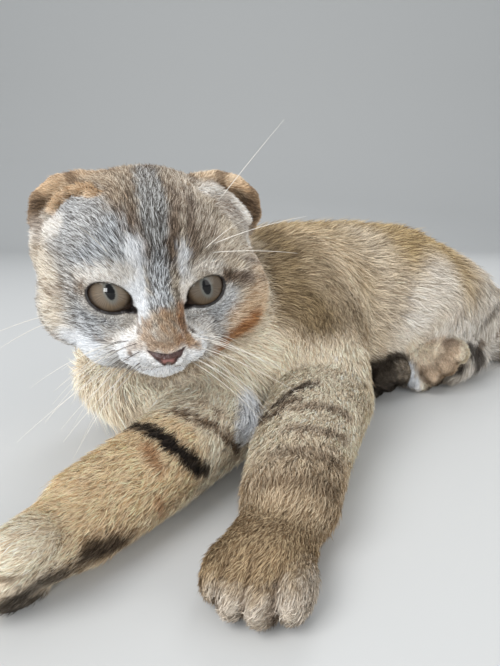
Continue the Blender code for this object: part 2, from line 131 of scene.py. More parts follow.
class Chain:
    """Tapered round lengths through points that carry their own radius as a fourth number."""

    def __init__(self, points, inset=0.0, base=FLOOR):
        self.points = np.array([base.place(p[:3]) for p in points])
        self.radii = np.maximum(np.array([p[3] for p in points]) - inset, 0.6)
        steps = np.linalg.norm(np.diff(self.points, axis=0), axis=1)
        self.starts = np.concatenate([[0.0], np.cumsum(steps)])

    def distance(self, q):
        best = np.full(q.shape[:-1], 1000.0, q.dtype)
        lengths = zip(self.points, self.points[1:], self.radii, self.radii[1:])
        for a, b, ra, rb in lengths:
            along = (b - a).astype(q.dtype)
            offset = q - a.astype(q.dtype)
            t = np.clip(offset @ along / (along @ along), 0.0, 1.0)
            offset -= t[..., None] * along
            away = np.sqrt(np.einsum("...i,...i", offset, offset))
            best = np.minimum(best, away - (ra + (rb - ra) * t))
        return best

    def follow(self, q):
        """For each point: how far along the chain it lies, the direction there, and its offset."""
        best = np.full(len(q), 1000.0)
        travel = np.zeros(len(q))
        tangent = np.zeros((len(q), 3))
        offset = np.zeros((len(q), 3))
        for i, (a, b) in enumerate(zip(self.points, self.points[1:])):
            along = b - a
            t = np.clip((q - a) @ along / (along @ along), 0.0, 1.0)
            away = q - a - t[:, None] * along
            gap = np.linalg.norm(away, axis=1)
            nearer = gap < best
            best[nearer] = gap[nearer]
            travel[nearer] = (self.starts[i] + t * np.linalg.norm(along))[nearer]
            tangent[nearer] = unit(along)
            offset[nearer] = away[nearer]
        return travel, tangent, offset

    def mass(self, blend):
        reach = self.radii[:, None]
        return Mass(self.distance, (self.points - reach).min(0), (self.points + reach).max(0), blend, False)


def ball(base, centre, radii, blend, carved=False):
    """An ellipsoid whose radii run along the frame's forward, left and up."""
    centre = np.array(centre, float)
    radii = np.array(radii, float)
    middle = base.place(centre)
    reach = float(radii.max())

    def distance(points):
        q = base.local(points) - centre.astype(points.dtype)
        q /= radii.astype(points.dtype)
        k0 = np.sqrt(np.einsum("...i,...i", q, q))
        q /= radii.astype(points.dtype)
        k1 = np.sqrt(np.einsum("...i,...i", q, q))
        return k0 * (k0 - 1.0) / np.maximum(k1, 1e-6)

    return Mass(distance, middle - reach, middle + reach, blend, carved)


def both_sides(point):
    """A place on the left and the same place on the right, with the side's sign."""
    f, l, u = point
    return ((1.0, (f, l, u)), (-1.0, (f, -l, u)))


# The head, in millimetres forward, left and up of the point between the eyeballs.

HEAD = FLOOR.child((-31.0, 164.0, 71.3), heading=-72.5, pitch=-6.6, roll=1.6)

EYE_PLACE = (0.0, 13.8, 1.4)
EYE_RADIUS = 9.4
LID_RADIUS = 10.2
LID_OPENING = (25.0, 8.3, 5.4)
LID_CENTRE = (22.0, 0.0, -0.2)
TEAR_CORNER = (9.2, 6.6, -2.1)
TEAR_SIZE = (4.0, 2.2, 1.2)
EYE_TURN_OUT = 10.0
LID_SLANT = 18.0
NOSE_PLACE = (19.2, 0.0, -15.4)
NOSE_SIZE = (3.4, 5.2, 3.2)
NOSTRIL = (22.6, 2.9, -15.8)
NOSTRIL_SIZE = (2.0, 1.3, 0.7)
MOUTH = ((0.0, -19.6), (3.0, -21.3), (6.5, -22.6), (10.0, -22.4), (13.5, -20.6))
MOUTH_GROOVE = ((0.0, -17.0), (0.0, -18.6), (0.0, -19.8))
MOUTH_RADIUS = 0.75
EAR_BAND = (
    (-27.0, 15.9, 31.3, 4.2),
    (-29.5, 23.8, 32.0, 4.9),
    (-31.0, 30.9, 30.2, 5.4),
    (-31.5, 36.3, 25.8, 5.4),
    (-31.0, 37.9, 20.8, 4.6),
    (-30.5, 36.2, 15.5, 3.2),
)
EAR_HOLLOW = {
    1.0: ((-25.0, 26.0, 31.0, 0.9), (-25.5, 34.0, 28.0, 2.2), (-26.0, 39.5, 23.0, 3.2)),
    -1.0: ((-22.0, -22.0, 32.5, 0.9), (-22.5, -28.5, 29.5, 2.0), (-23.5, -33.0, 25.0, 2.8)),
}
# The free edge of each ear's front.
FLAP_EDGE = {
    1.0: ((-10.0, 18.5, 31.0), (-16.5, 24.5, 30.8), (-20.5, 30.5, 27.8), (-22.5, 35.5, 23.5), (-23.0, 38.0, 19.5)),
    -1.0: ((-7.0, -16.0, 30.8), (-11.0, -19.0, 31.8), (-15.5, -23.0, 31.0), (-17.0, -27.0, 28.4), (-16.0, -29.4, 25.0)),
}
EAR_SPREAD = 3.7
EAR_ROOT = (-29.0, 33.0, 29.5)
EAR_FLAP = (-21.4, 26.0, 24.2)

# The body, in millimetres right, away and up from the floor mark under the camera.

BACK = (
    (-8, 238, 48, 38),
    (18, 259, 50.5, 41.5),
    (51, 286, 52.5, 40),
    (83, 309, 51.5, 39),
    (107, 327, 41, 39.5),
    (126, 341, 32, 37),
    (142, 351, 27, 32),
    (154, 357, 23, 27),
)
RUMP = ((116, 342, 33, 36), (142, 354, 24, 29))
FAR_HAUNCH = ((132, 354, 27, 27), (108, 353, 22, 22), (84, 343, 16, 17))
FAR_SHOULDER = ((-22, 252, 62, 27), (-14, 268, 48, 27))
BELLY = (
    (0, 246, 34, 33),
    (50, 284, 36, 37),
    (92, 314, 35, 36),
    (122, 338, 32, 35),
)
CHEST = ((-12, 222, 35, 35), (-12, 223, 35, 35))
RUFF = ((-30, 208, 38, 23), (-14, 206, 34, 25))
NECK = ((-34, 196, 60, 27), (4, 234, 50, 34))
TAIL = (
    (146, 350, 26, 27),
    (168, 334, 23, 23.5),
    (190, 320, 17.5, 18),
    (214, 300, 14.5, 15),
    (229, 274, 12.5, 13),
    (233, 247, 11, 11.5),
    (229, 226, 9.5, 9),
)
LEFT_FORELEG = (
    (26, 250, 58, 27),
    (27, 228, 42, 27),
    (30, 196, 22, 20.5),
    (18, 160, 17, 17.5),
    (12, 134, 14, 15),
)
RIGHT_FORELEG = (
    (-27, 248, 46, 27),
    (-24, 216, 38, 24),
    (-14, 178, 20, 18),
    (-30, 150, 16, 15.5),
    (-45, 127, 14, 13.5),
)
RIGHT_UPPER_ARM = ((-53, 214, 30, 24), (-37, 203, 30, 25), (-18, 184, 22, 19))
LEFT_PAW = FLOOR.child((4, 112, 9.5), heading=-112.0)
RIGHT_PAW = FLOOR.child((-54, 111, 13), heading=-133.0, roll=62.0)
LEFT_THIGH = ((130, 328, 34, 31), (112, 298, 29, 22))
LEFT_SHANK = ((112, 298, 26, 15), (132, 294, 15, 12), (116, 280, 14, 13))
LEFT_HINDPAW = FLOOR.child((105, 274, 16), heading=-108.0, roll=46.0)
RIGHT_SHANK = ((122, 308, 15, 14), (90, 276, 12, 12))
RIGHT_HINDPAW = FLOOR.child((72, 261, 12.5), heading=-120.0, roll=32.0)


def eye_frame(side):
    """A frame in the eyeball, looking a little outwards, with the lids' slant as its roll."""
    f, l, u = EYE_PLACE
    return HEAD.child((f, side * l, u), heading=side * EYE_TURN_OUT, roll=side * LID_SLANT)


def on_ear(side, points):
    """Ear points on one side. The kitten spreads its left ear a little more than its right."""
    spread = side * EAR_SPREAD
    return [(p[0], side * (p[1] + spread), *p[2:]) for p in points]


# Each zone has its masses and the way its coat grows: its depth over the skin, the hair's length
# and width, how steeply it stands, how many hairs grow on a square millimetre, how its hairs draw
# together into tufts, and the size of those tufts.

Growth = namedtuple("Growth", "depth length width lift density draw tuft")

GROWTH = {
    "head": Growth(1.4, 4.6, 0.19, 28.0, 10.5, 0.32, 1.9),
    "ear": Growth(0.5, 1.9, 0.19, 30.0, 13.0, 0.25, 1.4),
    "neck": Growth(3.2, 9.5, 0.30, 32.0, 4.6, 0.45, 3.2),
    "trunk": Growth(4.0, 10.0, 0.33, 38.0, 3.1, 0.44, 3.4),
    "tail": Growth(2.8, 8.0, 0.33, 30.0, 3.2, 0.42, 3.0),
    "leg": Growth(1.6, 4.9, 0.24, 30.0, 6.4, 0.34, 2.2),
    "paw": Growth(0.8, 2.8, 0.20, 28.0, 9.5, 0.26, 1.5),
    "thigh": Growth(2.9, 8.0, 0.32, 34.0, 3.8, 0.42, 3.2),
}


class Zone:
    """A stretch of the body with its masses, the lie of its coat and its unwrapping."""

    def __init__(self, name, growth, lie, unwrap):
        self.name = name
        self.growth = GROWTH[growth]
        self.lie = lie
        self.unwrap = unwrap
        self.masses = []

    def add_chain(self, points, blend, base=FLOOR):
        self.masses.append(Chain(points, self.growth.depth, base).mass(blend))

    def add_ball(self, base, centre, radii, blend, inset=None):
        depth = self.growth.depth if inset is None else inset
        self.masses.append(ball(base, centre, [r - depth for r in radii], blend))

    def carve(self, mass):
        self.masses.append(mass)

    def distance(self, points):
        solid = [mass.distance(points) for mass in self.masses if not mass.carved]
        return np.min(solid, axis=0)


# How the hair lies.

def away_from(place):
    """Hair that streams away from one place, such as the nose."""

    def lie(points):
        return unit(points - place)

    return lie


def down_chain(points, drop=0.0):
    """Hair that streams along a chain, and drops a little on its sides."""
    chain = Chain(points)

    def lie(q):
        travel, tangent, offset = chain.follow(q)
        side = np.linalg.norm(offset[:, :2], axis=1) / (np.linalg.norm(offset, axis=1) + 1e-6)
        return unit(tangent - np.outer(side, (0.0, 0.0, drop)))

    return lie


def one_way(direction):
    direction = unit(np.array(direction, float))

    def lie(points):
        return np.broadcast_to(direction, points.shape)

    return lie


# How the skin unwraps. Each zone has its own tile of the unit square.

Tile = namedtuple("Tile", "left bottom width height")


def disc(base, tile):
    """A rounded form flattened like an orange peel, with the forward pole in the tile's middle."""

    def unwrap(points, near):
        q = base.local(points)
        opening = np.arccos(np.clip(q[:, 0] / (np.linalg.norm(q, axis=1) + 1e-9), -1.0, 1.0)) / math.pi
        around = np.arctan2(q[:, 2], q[:, 1])
        u = tile.left + tile.width * (0.5 + 0.49 * opening * np.cos(around))
        v = tile.bottom + tile.height * (0.5 + 0.49 * opening * np.sin(around))
        return np.stack([u, v], axis=1)

    return unwrap


def roll_out(points, tile):
    """A long form cut along its underside and rolled flat."""
    chain = Chain(points)

    def around_of(q):
        travel, tangent, offset = chain.follow(q)
        side = unit(np.cross(tangent, (0.0, 0.0, 1.0)))
        return travel, np.arctan2(np.einsum("ij,ij->i", offset, side), offset[:, 2])

    def unwrap(q, near):
        travel, around = around_of(q)
        wished = around_of(near)[1]
        around = wished + (around - wished + math.pi) % (2.0 * math.pi) - math.pi
        u = tile.left + tile.width * (0.04 + 0.92 * travel / chain.starts[-1])
        v = tile.bottom + tile.height * (0.5 + 0.46 * around / math.pi)
        return np.stack([u, v], axis=1)

    return unwrap


def make_zones():
    """All the zones, with the same masses as the solids, in the same order of melting."""
    nose = HEAD.place(NOSE_PLACE)
    skull = HEAD.child((-16.0, 0.0, 2.0))
    trunk = Zone("trunk", "trunk", down_chain(BACK, drop=0.45), roll_out(BACK, Tile(0.0, 0.0, 0.5, 0.5)))
    trunk.add_chain(BACK, 10)
    trunk.add_chain(BELLY, 16)
    trunk.add_chain(RUMP, 12)
    trunk.add_chain(FAR_HAUNCH, 9)
    trunk.add_chain(FAR_SHOULDER, 10)
    trunk.add_chain(CHEST, 14)
    trunk.add_chain(RIGHT_UPPER_ARM, 12)
    neck = Zone("neck", "neck", away_from(HEAD.place((-14, 0, 10))), roll_out(NECK, Tile(0.5, 0.0, 0.25, 0.25)))
    neck.add_chain(RUFF, 12)
    neck.add_chain(NECK, 9)
    tail = Zone("tail", "tail", down_chain(TAIL), roll_out(TAIL, Tile(0.5, 0.25, 0.3, 0.12)))
    tail.add_chain(TAIL, 8)

    left_leg = Zone("foreleg_left", "leg", down_chain(LEFT_FORELEG), roll_out(LEFT_FORELEG, Tile(0.75, 0, 0.25, 0.12)))
    left_leg.add_chain(LEFT_FORELEG, 8)
    right_leg = Zone(
        "foreleg_right", "leg", down_chain(RIGHT_FORELEG), roll_out(RIGHT_FORELEG, Tile(0.75, 0.12, 0.25, 0.12)))
    right_leg.add_chain(RIGHT_FORELEG, 8)
    feet = []
    for name, base, size, tile in (
            ("forepaw_left", LEFT_PAW, 1.03, Tile(0.5, 0.37, 0.13, 0.13)),
            ("forepaw_right", RIGHT_PAW, 1.0, Tile(0.63, 0.37, 0.13, 0.13)),
            ("hindpaw_left", LEFT_HINDPAW, 1.33, Tile(0.76, 0.37, 0.12, 0.13)),
            ("hindpaw_right", RIGHT_HINDPAW, 1.1, Tile(0.88, 0.37, 0.12, 0.13))):
        foot = Zone(name, "paw", one_way(base.axes[0] - 0.1 * base.axes[2]), disc(base, tile))
        if name == "hindpaw_left":
            add_foot(foot, base, size, toe_long=8.0, toe_tall=5.4)
        else:
            add_foot(foot, base, size)
        feet.append(foot)
    thigh_way = one_way((-0.35, -0.5, -0.75))
    thigh = Zone("thigh", "thigh", thigh_way, roll_out(LEFT_THIGH, Tile(0.8, 0.24, 0.2, 0.13)))
    thigh.add_chain(LEFT_THIGH, 10)
    thigh.add_chain(LEFT_SHANK, 6)
    thigh.add_chain(RIGHT_SHANK, 5)

    head = Zone("head", "head", away_from(nose), disc(skull, Tile(0.0, 0.5, 0.5, 0.5)))
    add_skull(head)
    add_muzzle(head)
    add_lids(head)
    ears = []
    for side, name, tile in (
            (1.0, "ear_left", Tile(0.5, 0.5, 0.25, 0.25)),
            (-1.0, "ear_right", Tile(0.75, 0.5, 0.25, 0.25))):
        root = HEAD.child(on_ear(side, [EAR_ROOT])[0], heading=side * 95.0, pitch=32.0)
        crown = HEAD.place(on_ear(side, [(-18.0, 8.0, 34.0)])[0])
        ear = Zone(name, "ear", away_from(crown), disc(root, tile))
        add_ear(ear, side)
        ears.append(ear)
    return [trunk, neck, tail, left_leg, right_leg, *feet[:2], thigh, *feet[2:], head, *ears]


def add_foot(zone, base, size, toe_long=9.0, toe_tall=6.8):
    """Four toes and the ball of the foot."""
    zone.add_ball(base, (-3 * size, 0, 0.5), (14 * size, 12 * size, 9 * size), 8)
    for toe, forward, wide in ((3.4, 8.0, 4.9), (9.6, 4.5, 4.6)):
        for side, place in both_sides((forward * size, toe * size, -2)):
            zone.add_ball(base, place, (toe_long * size, wide * size, toe_tall * size), 2.2)


def add_skull(zone):
    zone.add_ball(HEAD, (-26, 0, 8.2), (35, 37, 30.6), 4, inset=1.4)
    zone.add_ball(HEAD, (-8, 0, 13), (18, 25, 17), 10, inset=1.2)
    for side, place in both_sides((-20, 22.5, -8.5)):
        zone.add_ball(HEAD, place, (21, 18.5, 17), 10, inset=1.4 if side > 0 else 4.0)
    zone.add_ball(HEAD, (-20, 25, -6), (19, 17, 17), 10, inset=1.4)
    for side, place in both_sides((-27, 33.5, 12)):
        zone.add_ball(HEAD, place, (7, 4.5, 9), 5, inset=0.6)
    for side, place in both_sides((-3, 13, -16)):
        zone.add_ball(HEAD, place, (13, 12, 10), 8)
    zone.add_chain([(-6, 0, -21.5, 12), (5, 0, -21, 7.5)], 8, HEAD)


def add_muzzle(zone):
    zone.masses.append(Chain([(0, 0, 2, 9), (9, 0, -4.5, 8), (15.5, 0, -10, 6.4)], 0.7, HEAD).mass(6))
    for side, place in both_sides((11.8, 6.2, -15.2)):
        zone.add_ball(HEAD, place, (7.4, 7.8, 6.0), 5, inset=0.7)
    zone.add_ball(HEAD, (8, 0, -21.3), (6.6, 8.4, 4.8), 3, inset=0.7)
    zone.add_ball(HEAD, NOSE_PLACE, NOSE_SIZE, 1.6, inset=0.0)
    for side, place in both_sides(NOSTRIL):
        zone.carve(ball(HEAD, place, NOSTRIL_SIZE, 0.5, carved=True))


def add_lids(zone):
    for side in (1.0, -1.0):
        eye = eye_frame(side)
        zone.add_ball(eye, (0, 0, 0), (LID_RADIUS,) * 3, 4, inset=0.0)
        zone.carve(ball(eye, LID_CENTRE, LID_OPENING, 0.7, carved=True))
        f, l, u = TEAR_CORNER
        zone.carve(ball(eye, (f, -side * l, u), TEAR_SIZE, 0.7, carved=True))


def add_ear(zone, side):
    flap = HEAD.child(on_ear(side, [EAR_FLAP])[0], heading=side * 62.0, pitch=38.0)
    zone.add_chain(on_ear(side, EAR_BAND), 3, HEAD)
    zone.add_ball(flap, (0, 0, 0), (2.6, 14, 11), 2.5)
    zone.add_chain([(*p, 1.5) for p in FLAP_EDGE[side]], 1.6, HEAD)
    hollow = Chain(EAR_HOLLOW[side], 0.0, HEAD).mass(1.0)
    zone.carve(hollow._replace(carved=True))


# The skin. Masses are sampled on a grid whose lines stand closer round the head and the nose.

def grid_lines(low, high, stretches):
    """Places along one axis, with a spacing of their own on some stretches."""
    places = [low]
    while places[-1] < high:
        here = places[-1]
        step = min(size for start, end, size in stretches if start <= here < end)
        places.append(here + step * COARSER)
    return np.array(places)


PLAIN_STEP = 1.6
HEAD_STEP = 0.8
FACE_STEP = 0.55
NOSE_STEP = 0.38
PAW_STEP = 1.0


def skin_grid():
    """Grid lines on three axes, from the places of the head, the face, the nose and the paws."""
    low = FLOOR.place((-82, 88, -4))
    high = FLOOR.place((250, 395, 122))
    head, face, nose = HEAD.place((-24, 0, 6)), HEAD.place((4, 0, -6)), HEAD.place(NOSE_PLACE)
    axes = []
    for i in range(3):
        paws = [paw.origin[i] for paw in (LEFT_PAW, RIGHT_PAW)]
        stretches = (
            (-1000.0, 1000.0, PLAIN_STEP),
            (head[i] - 47, head[i] + 47, HEAD_STEP),
            (face[i] - 22, face[i] + 22, FACE_STEP),
            (nose[i] - 6, nose[i] + 6, NOSE_STEP),
            (min(paws) - 20, max(paws) + 20, PAW_STEP),
        )
        axes.append(grid_lines(low[i], high[i], stretches))
    return axes


# The corners of a cell are numbered 0 to 7. These go round its six sides, and across its middle.
FACE_CORNERS = (
    (0, 1, 3, 2),
    (4, 5, 7, 6),
    (0, 1, 5, 4),
    (2, 3, 7, 6),
    (0, 2, 6, 4),
    (1, 3, 7, 5),
)
OPPOSITE_CORNERS = ((0, 7), (1, 6), (2, 5), (3, 4))


class Clay:
    """A block of space sampled on a grid, in which masses are added and carved with soft joins."""

    def __init__(self, axes):
        self.axes = axes
        self.field = np.full([len(a) for a in axes], 50.0, np.float32)

    def melt(self, mass):
        """Add or carve a mass, with a fillet about as wide as its blend."""
        margin = mass.blend + 2.0 * PLAIN_STEP * COARSER
        where = []
        for i, axis in enumerate(self.axes):
            first = np.searchsorted(axis, mass.low[i] - margin)
            last = np.searchsorted(axis, mass.high[i] + margin)
            where.append(slice(first, last))
        where = tuple(where)
        lines = [axis[cut].astype(np.float32) for axis, cut in zip(self.axes, where)]
        points = np.stack(np.meshgrid(*lines, indexing="ij"), axis=-1)
        old, new = self.field[where], mass.distance(points)
        if mass.carved:
            h = np.clip(0.5 - 0.5 * (old + new) / mass.blend, 0.0, 1.0)
            self.field[where] = old + (-new - old) * h + mass.blend * h * (1.0 - h)
        else:
            h = np.clip(0.5 + 0.5 * (old - new) / mass.blend, 0.0, 1.0)
            self.field[where] = old + (new - old) * h - mass.blend * h * (1.0 - h)

    def value(self, place):
        """The field at one place, from the nearest grid corner."""
        index = tuple(int(np.argmin(np.abs(axis - c))) for axis, c in zip(self.axes, place))
        return float(self.field[index])

    def reach(self, start, direction, step=0.2):
        """The first place inside the clay on the way from the start."""
        place = np.array(start, float)
        while self.value(place) > 0.0:
            place = place + np.asarray(direction) * step
        return place

    def settle(self, field):
        """Fill the cells in which two surfaces would touch each other along an edge or at a point."""
        corners = [tuple(slice(s, s - 1 or None) for s in start) for start in np.ndindex(2, 2, 2)]
        while True:
            inside = field < 0.0
            full = [inside[corner] for corner in corners]
            touching = np.zeros(full[0].shape, bool)
            for a, b, c, d in FACE_CORNERS:
                touching |= (full[a] == full[c]) & (full[b] == full[d]) & (full[a] != full[b])
            filled = np.sum(full, axis=0, dtype=np.int8)
            for a, b in OPPOSITE_CORNERS:
                touching |= (filled == 2) & full[a] & full[b]
                touching |= (filled == 6) & ~full[a] & ~full[b]
            if not touching.any():
                return
            for corner in corners:
                part = field[corner]
                part[touching & (part >= 0.0)] = -0.02

    def surface(self):
        """Points and faces of the zero surface: one point per crossed cell, one face per edge."""
        field = self.field
        self.settle(field)
        inside = field < 0.0
        cells, places, quads = [], [], []
        for axis in range(3):
            b, c = (axis + 1) % 3, (axis + 2) % 3
            near, far = [slice(None)] * 3, [slice(None)] * 3
            near[axis], far[axis] = slice(0, -1), slice(1, None)
            edge = np.argwhere(inside[tuple(near)] != inside[tuple(far)])
            beyond = edge.copy()
            beyond[:, axis] += 1
            start, end = field[tuple(edge.T)], field[tuple(beyond.T)]
            crossing = edge.astype(float)
            crossing[:, axis] += start / (start - end)
            ring = []
            for db, dc in ((-1, -1), (0, -1), (0, 0), (-1, 0)):
                cell = edge.copy()
                cell[:, b] += db
                cell[:, c] += dc
                index = np.ravel_multi_index(tuple(cell.T), field.shape)
                ring.append(index)
                cells.append(index)
                places.append(crossing)
            ring = np.stack(ring, axis=1)
            quads.append(np.where((start < 0.0)[:, None], ring, ring[:, ::-1]))
        cells, places, quads = (np.concatenate(part) for part in (cells, places, quads))
        used, index = np.unique(cells, return_inverse=True)
        total = np.bincount(index)
        spots = [np.bincount(index, places[:, i]) / total for i in range(3)]
        points = [np.interp(spot, np.arange(len(a)), a) for spot, a in zip(spots, self.axes)]
        return np.stack(points, axis=1), np.searchsorted(used, quads)


def sculpt(zones):
    """The skin's points and four-sided faces, lying flat on the floor."""
    clay = Clay(skin_grid())
    for zone in zones:
        for mass in zone.masses:
            clay.melt(mass)
    back = -HEAD.axes[0]
    for half in (1.0, -1.0):
        line = [clay.reach(HEAD.place((36.0, half * l, u)), back) for l, u in MOUTH]
        clay.melt(mouth_mass(line))
    groove = [clay.reach(HEAD.place((36.0, l, u)), back) for l, u in MOUTH_GROOVE]
    clay.melt(mouth_mass(groove))
    heights = clay.axes[2].astype(np.float32) - np.float32(SKIN_REST)
    clay.field = np.maximum(clay.field, -heights)
    return clay.surface()


SKIN_REST = 0.4


def mouth_mass(line):
    """A thin groove along places on the lips."""
    local = [(*(place - FLOOR.origin), MOUTH_RADIUS) for place in line]
    return Chain(local).mass(0.5)._replace(carved=True)


def normals_of(points, quads):
    """A smooth outward direction at each skin point."""
    corners = points[quads]
    face = np.cross(corners[:, 2] - corners[:, 0], corners[:, 3] - corners[:, 1])
    total = np.stack([np.bincount(quads.ravel(), np.repeat(face[:, i], 4)) for i in range(3)], axis=1)
    return unit(total)


# Colours, as they look on a screen.

def tone(*levels):
    """A colour from screen levels of 0 to 255, in Blender's linear numbers."""
    c = np.array(levels, float) / 255.0
    return np.where(c <= 0.04045, c / 12.92, ((c + 0.055) / 1.055) ** 2.4)


PELTS = {
    "ticked": Pelt(tone(192, 181, 164), tone(84, 72, 58), 0.50),
    "silver": Pelt(tone(214, 218, 222), tone(78, 76, 75), 0.42),
    "crown": Pelt(tone(196, 198, 198), tone(62, 57, 52), 0.60),
    "frost": Pelt(tone(218, 218, 217), tone(98, 92, 86), 0.42),
    "white": Pelt(tone(246, 249, 253), tone(214, 216, 220), 0.12),
    "milk": Pelt(tone(246, 240, 232), tone(196, 184, 170), 0.18),
    "cream": Pelt(tone(252, 238, 216), tone(210, 188, 160), 0.18),
    "sand": Pelt(tone(206, 181, 136), tone(112, 87, 52), 0.42),
    "beige": Pelt(tone(252, 237, 214), tone(184, 160, 130), 0.24),
    "gold": Pelt(tone(184, 152, 118), tone(126, 96, 68), 0.36),
    "dusk": Pelt(tone(196, 172, 148), tone(132, 108, 86), 0.36),
    "orange": Pelt(tone(186, 130, 78), tone(124, 78, 44), 0.40),
    "brown": Pelt(tone(136, 108, 80), tone(66, 50, 36), 0.66),
    "dark": Pelt(tone(92, 74, 58), tone(40, 31, 25), 0.70),
    "black": Pelt(tone(64, 54, 46), tone(24, 20, 18), 0.62),
    "grey": Pelt(tone(184, 183, 181), tone(86, 82, 78), 0.48),
    "pale": Pelt(tone(240, 234, 226), tone(178, 166, 150), 0.22),
    "umber": Pelt(tone(160, 136, 96), tone(86, 67, 42), 0.48),
    "honey": Pelt(tone(250, 222, 180), tone(206, 166, 118), 0.22),
    "bronze": Pelt(tone(196, 172, 136), tone(128, 102, 72), 0.36),
    "tan": Pelt(tone(226, 196, 158), tone(178, 140, 102), 0.24),
    "leather": Pelt(tone(138, 92, 88), tone(104, 64, 60), 0.3),
    "leather_rim": Pelt(tone(62, 42, 38), tone(44, 30, 27), 0.5),
}
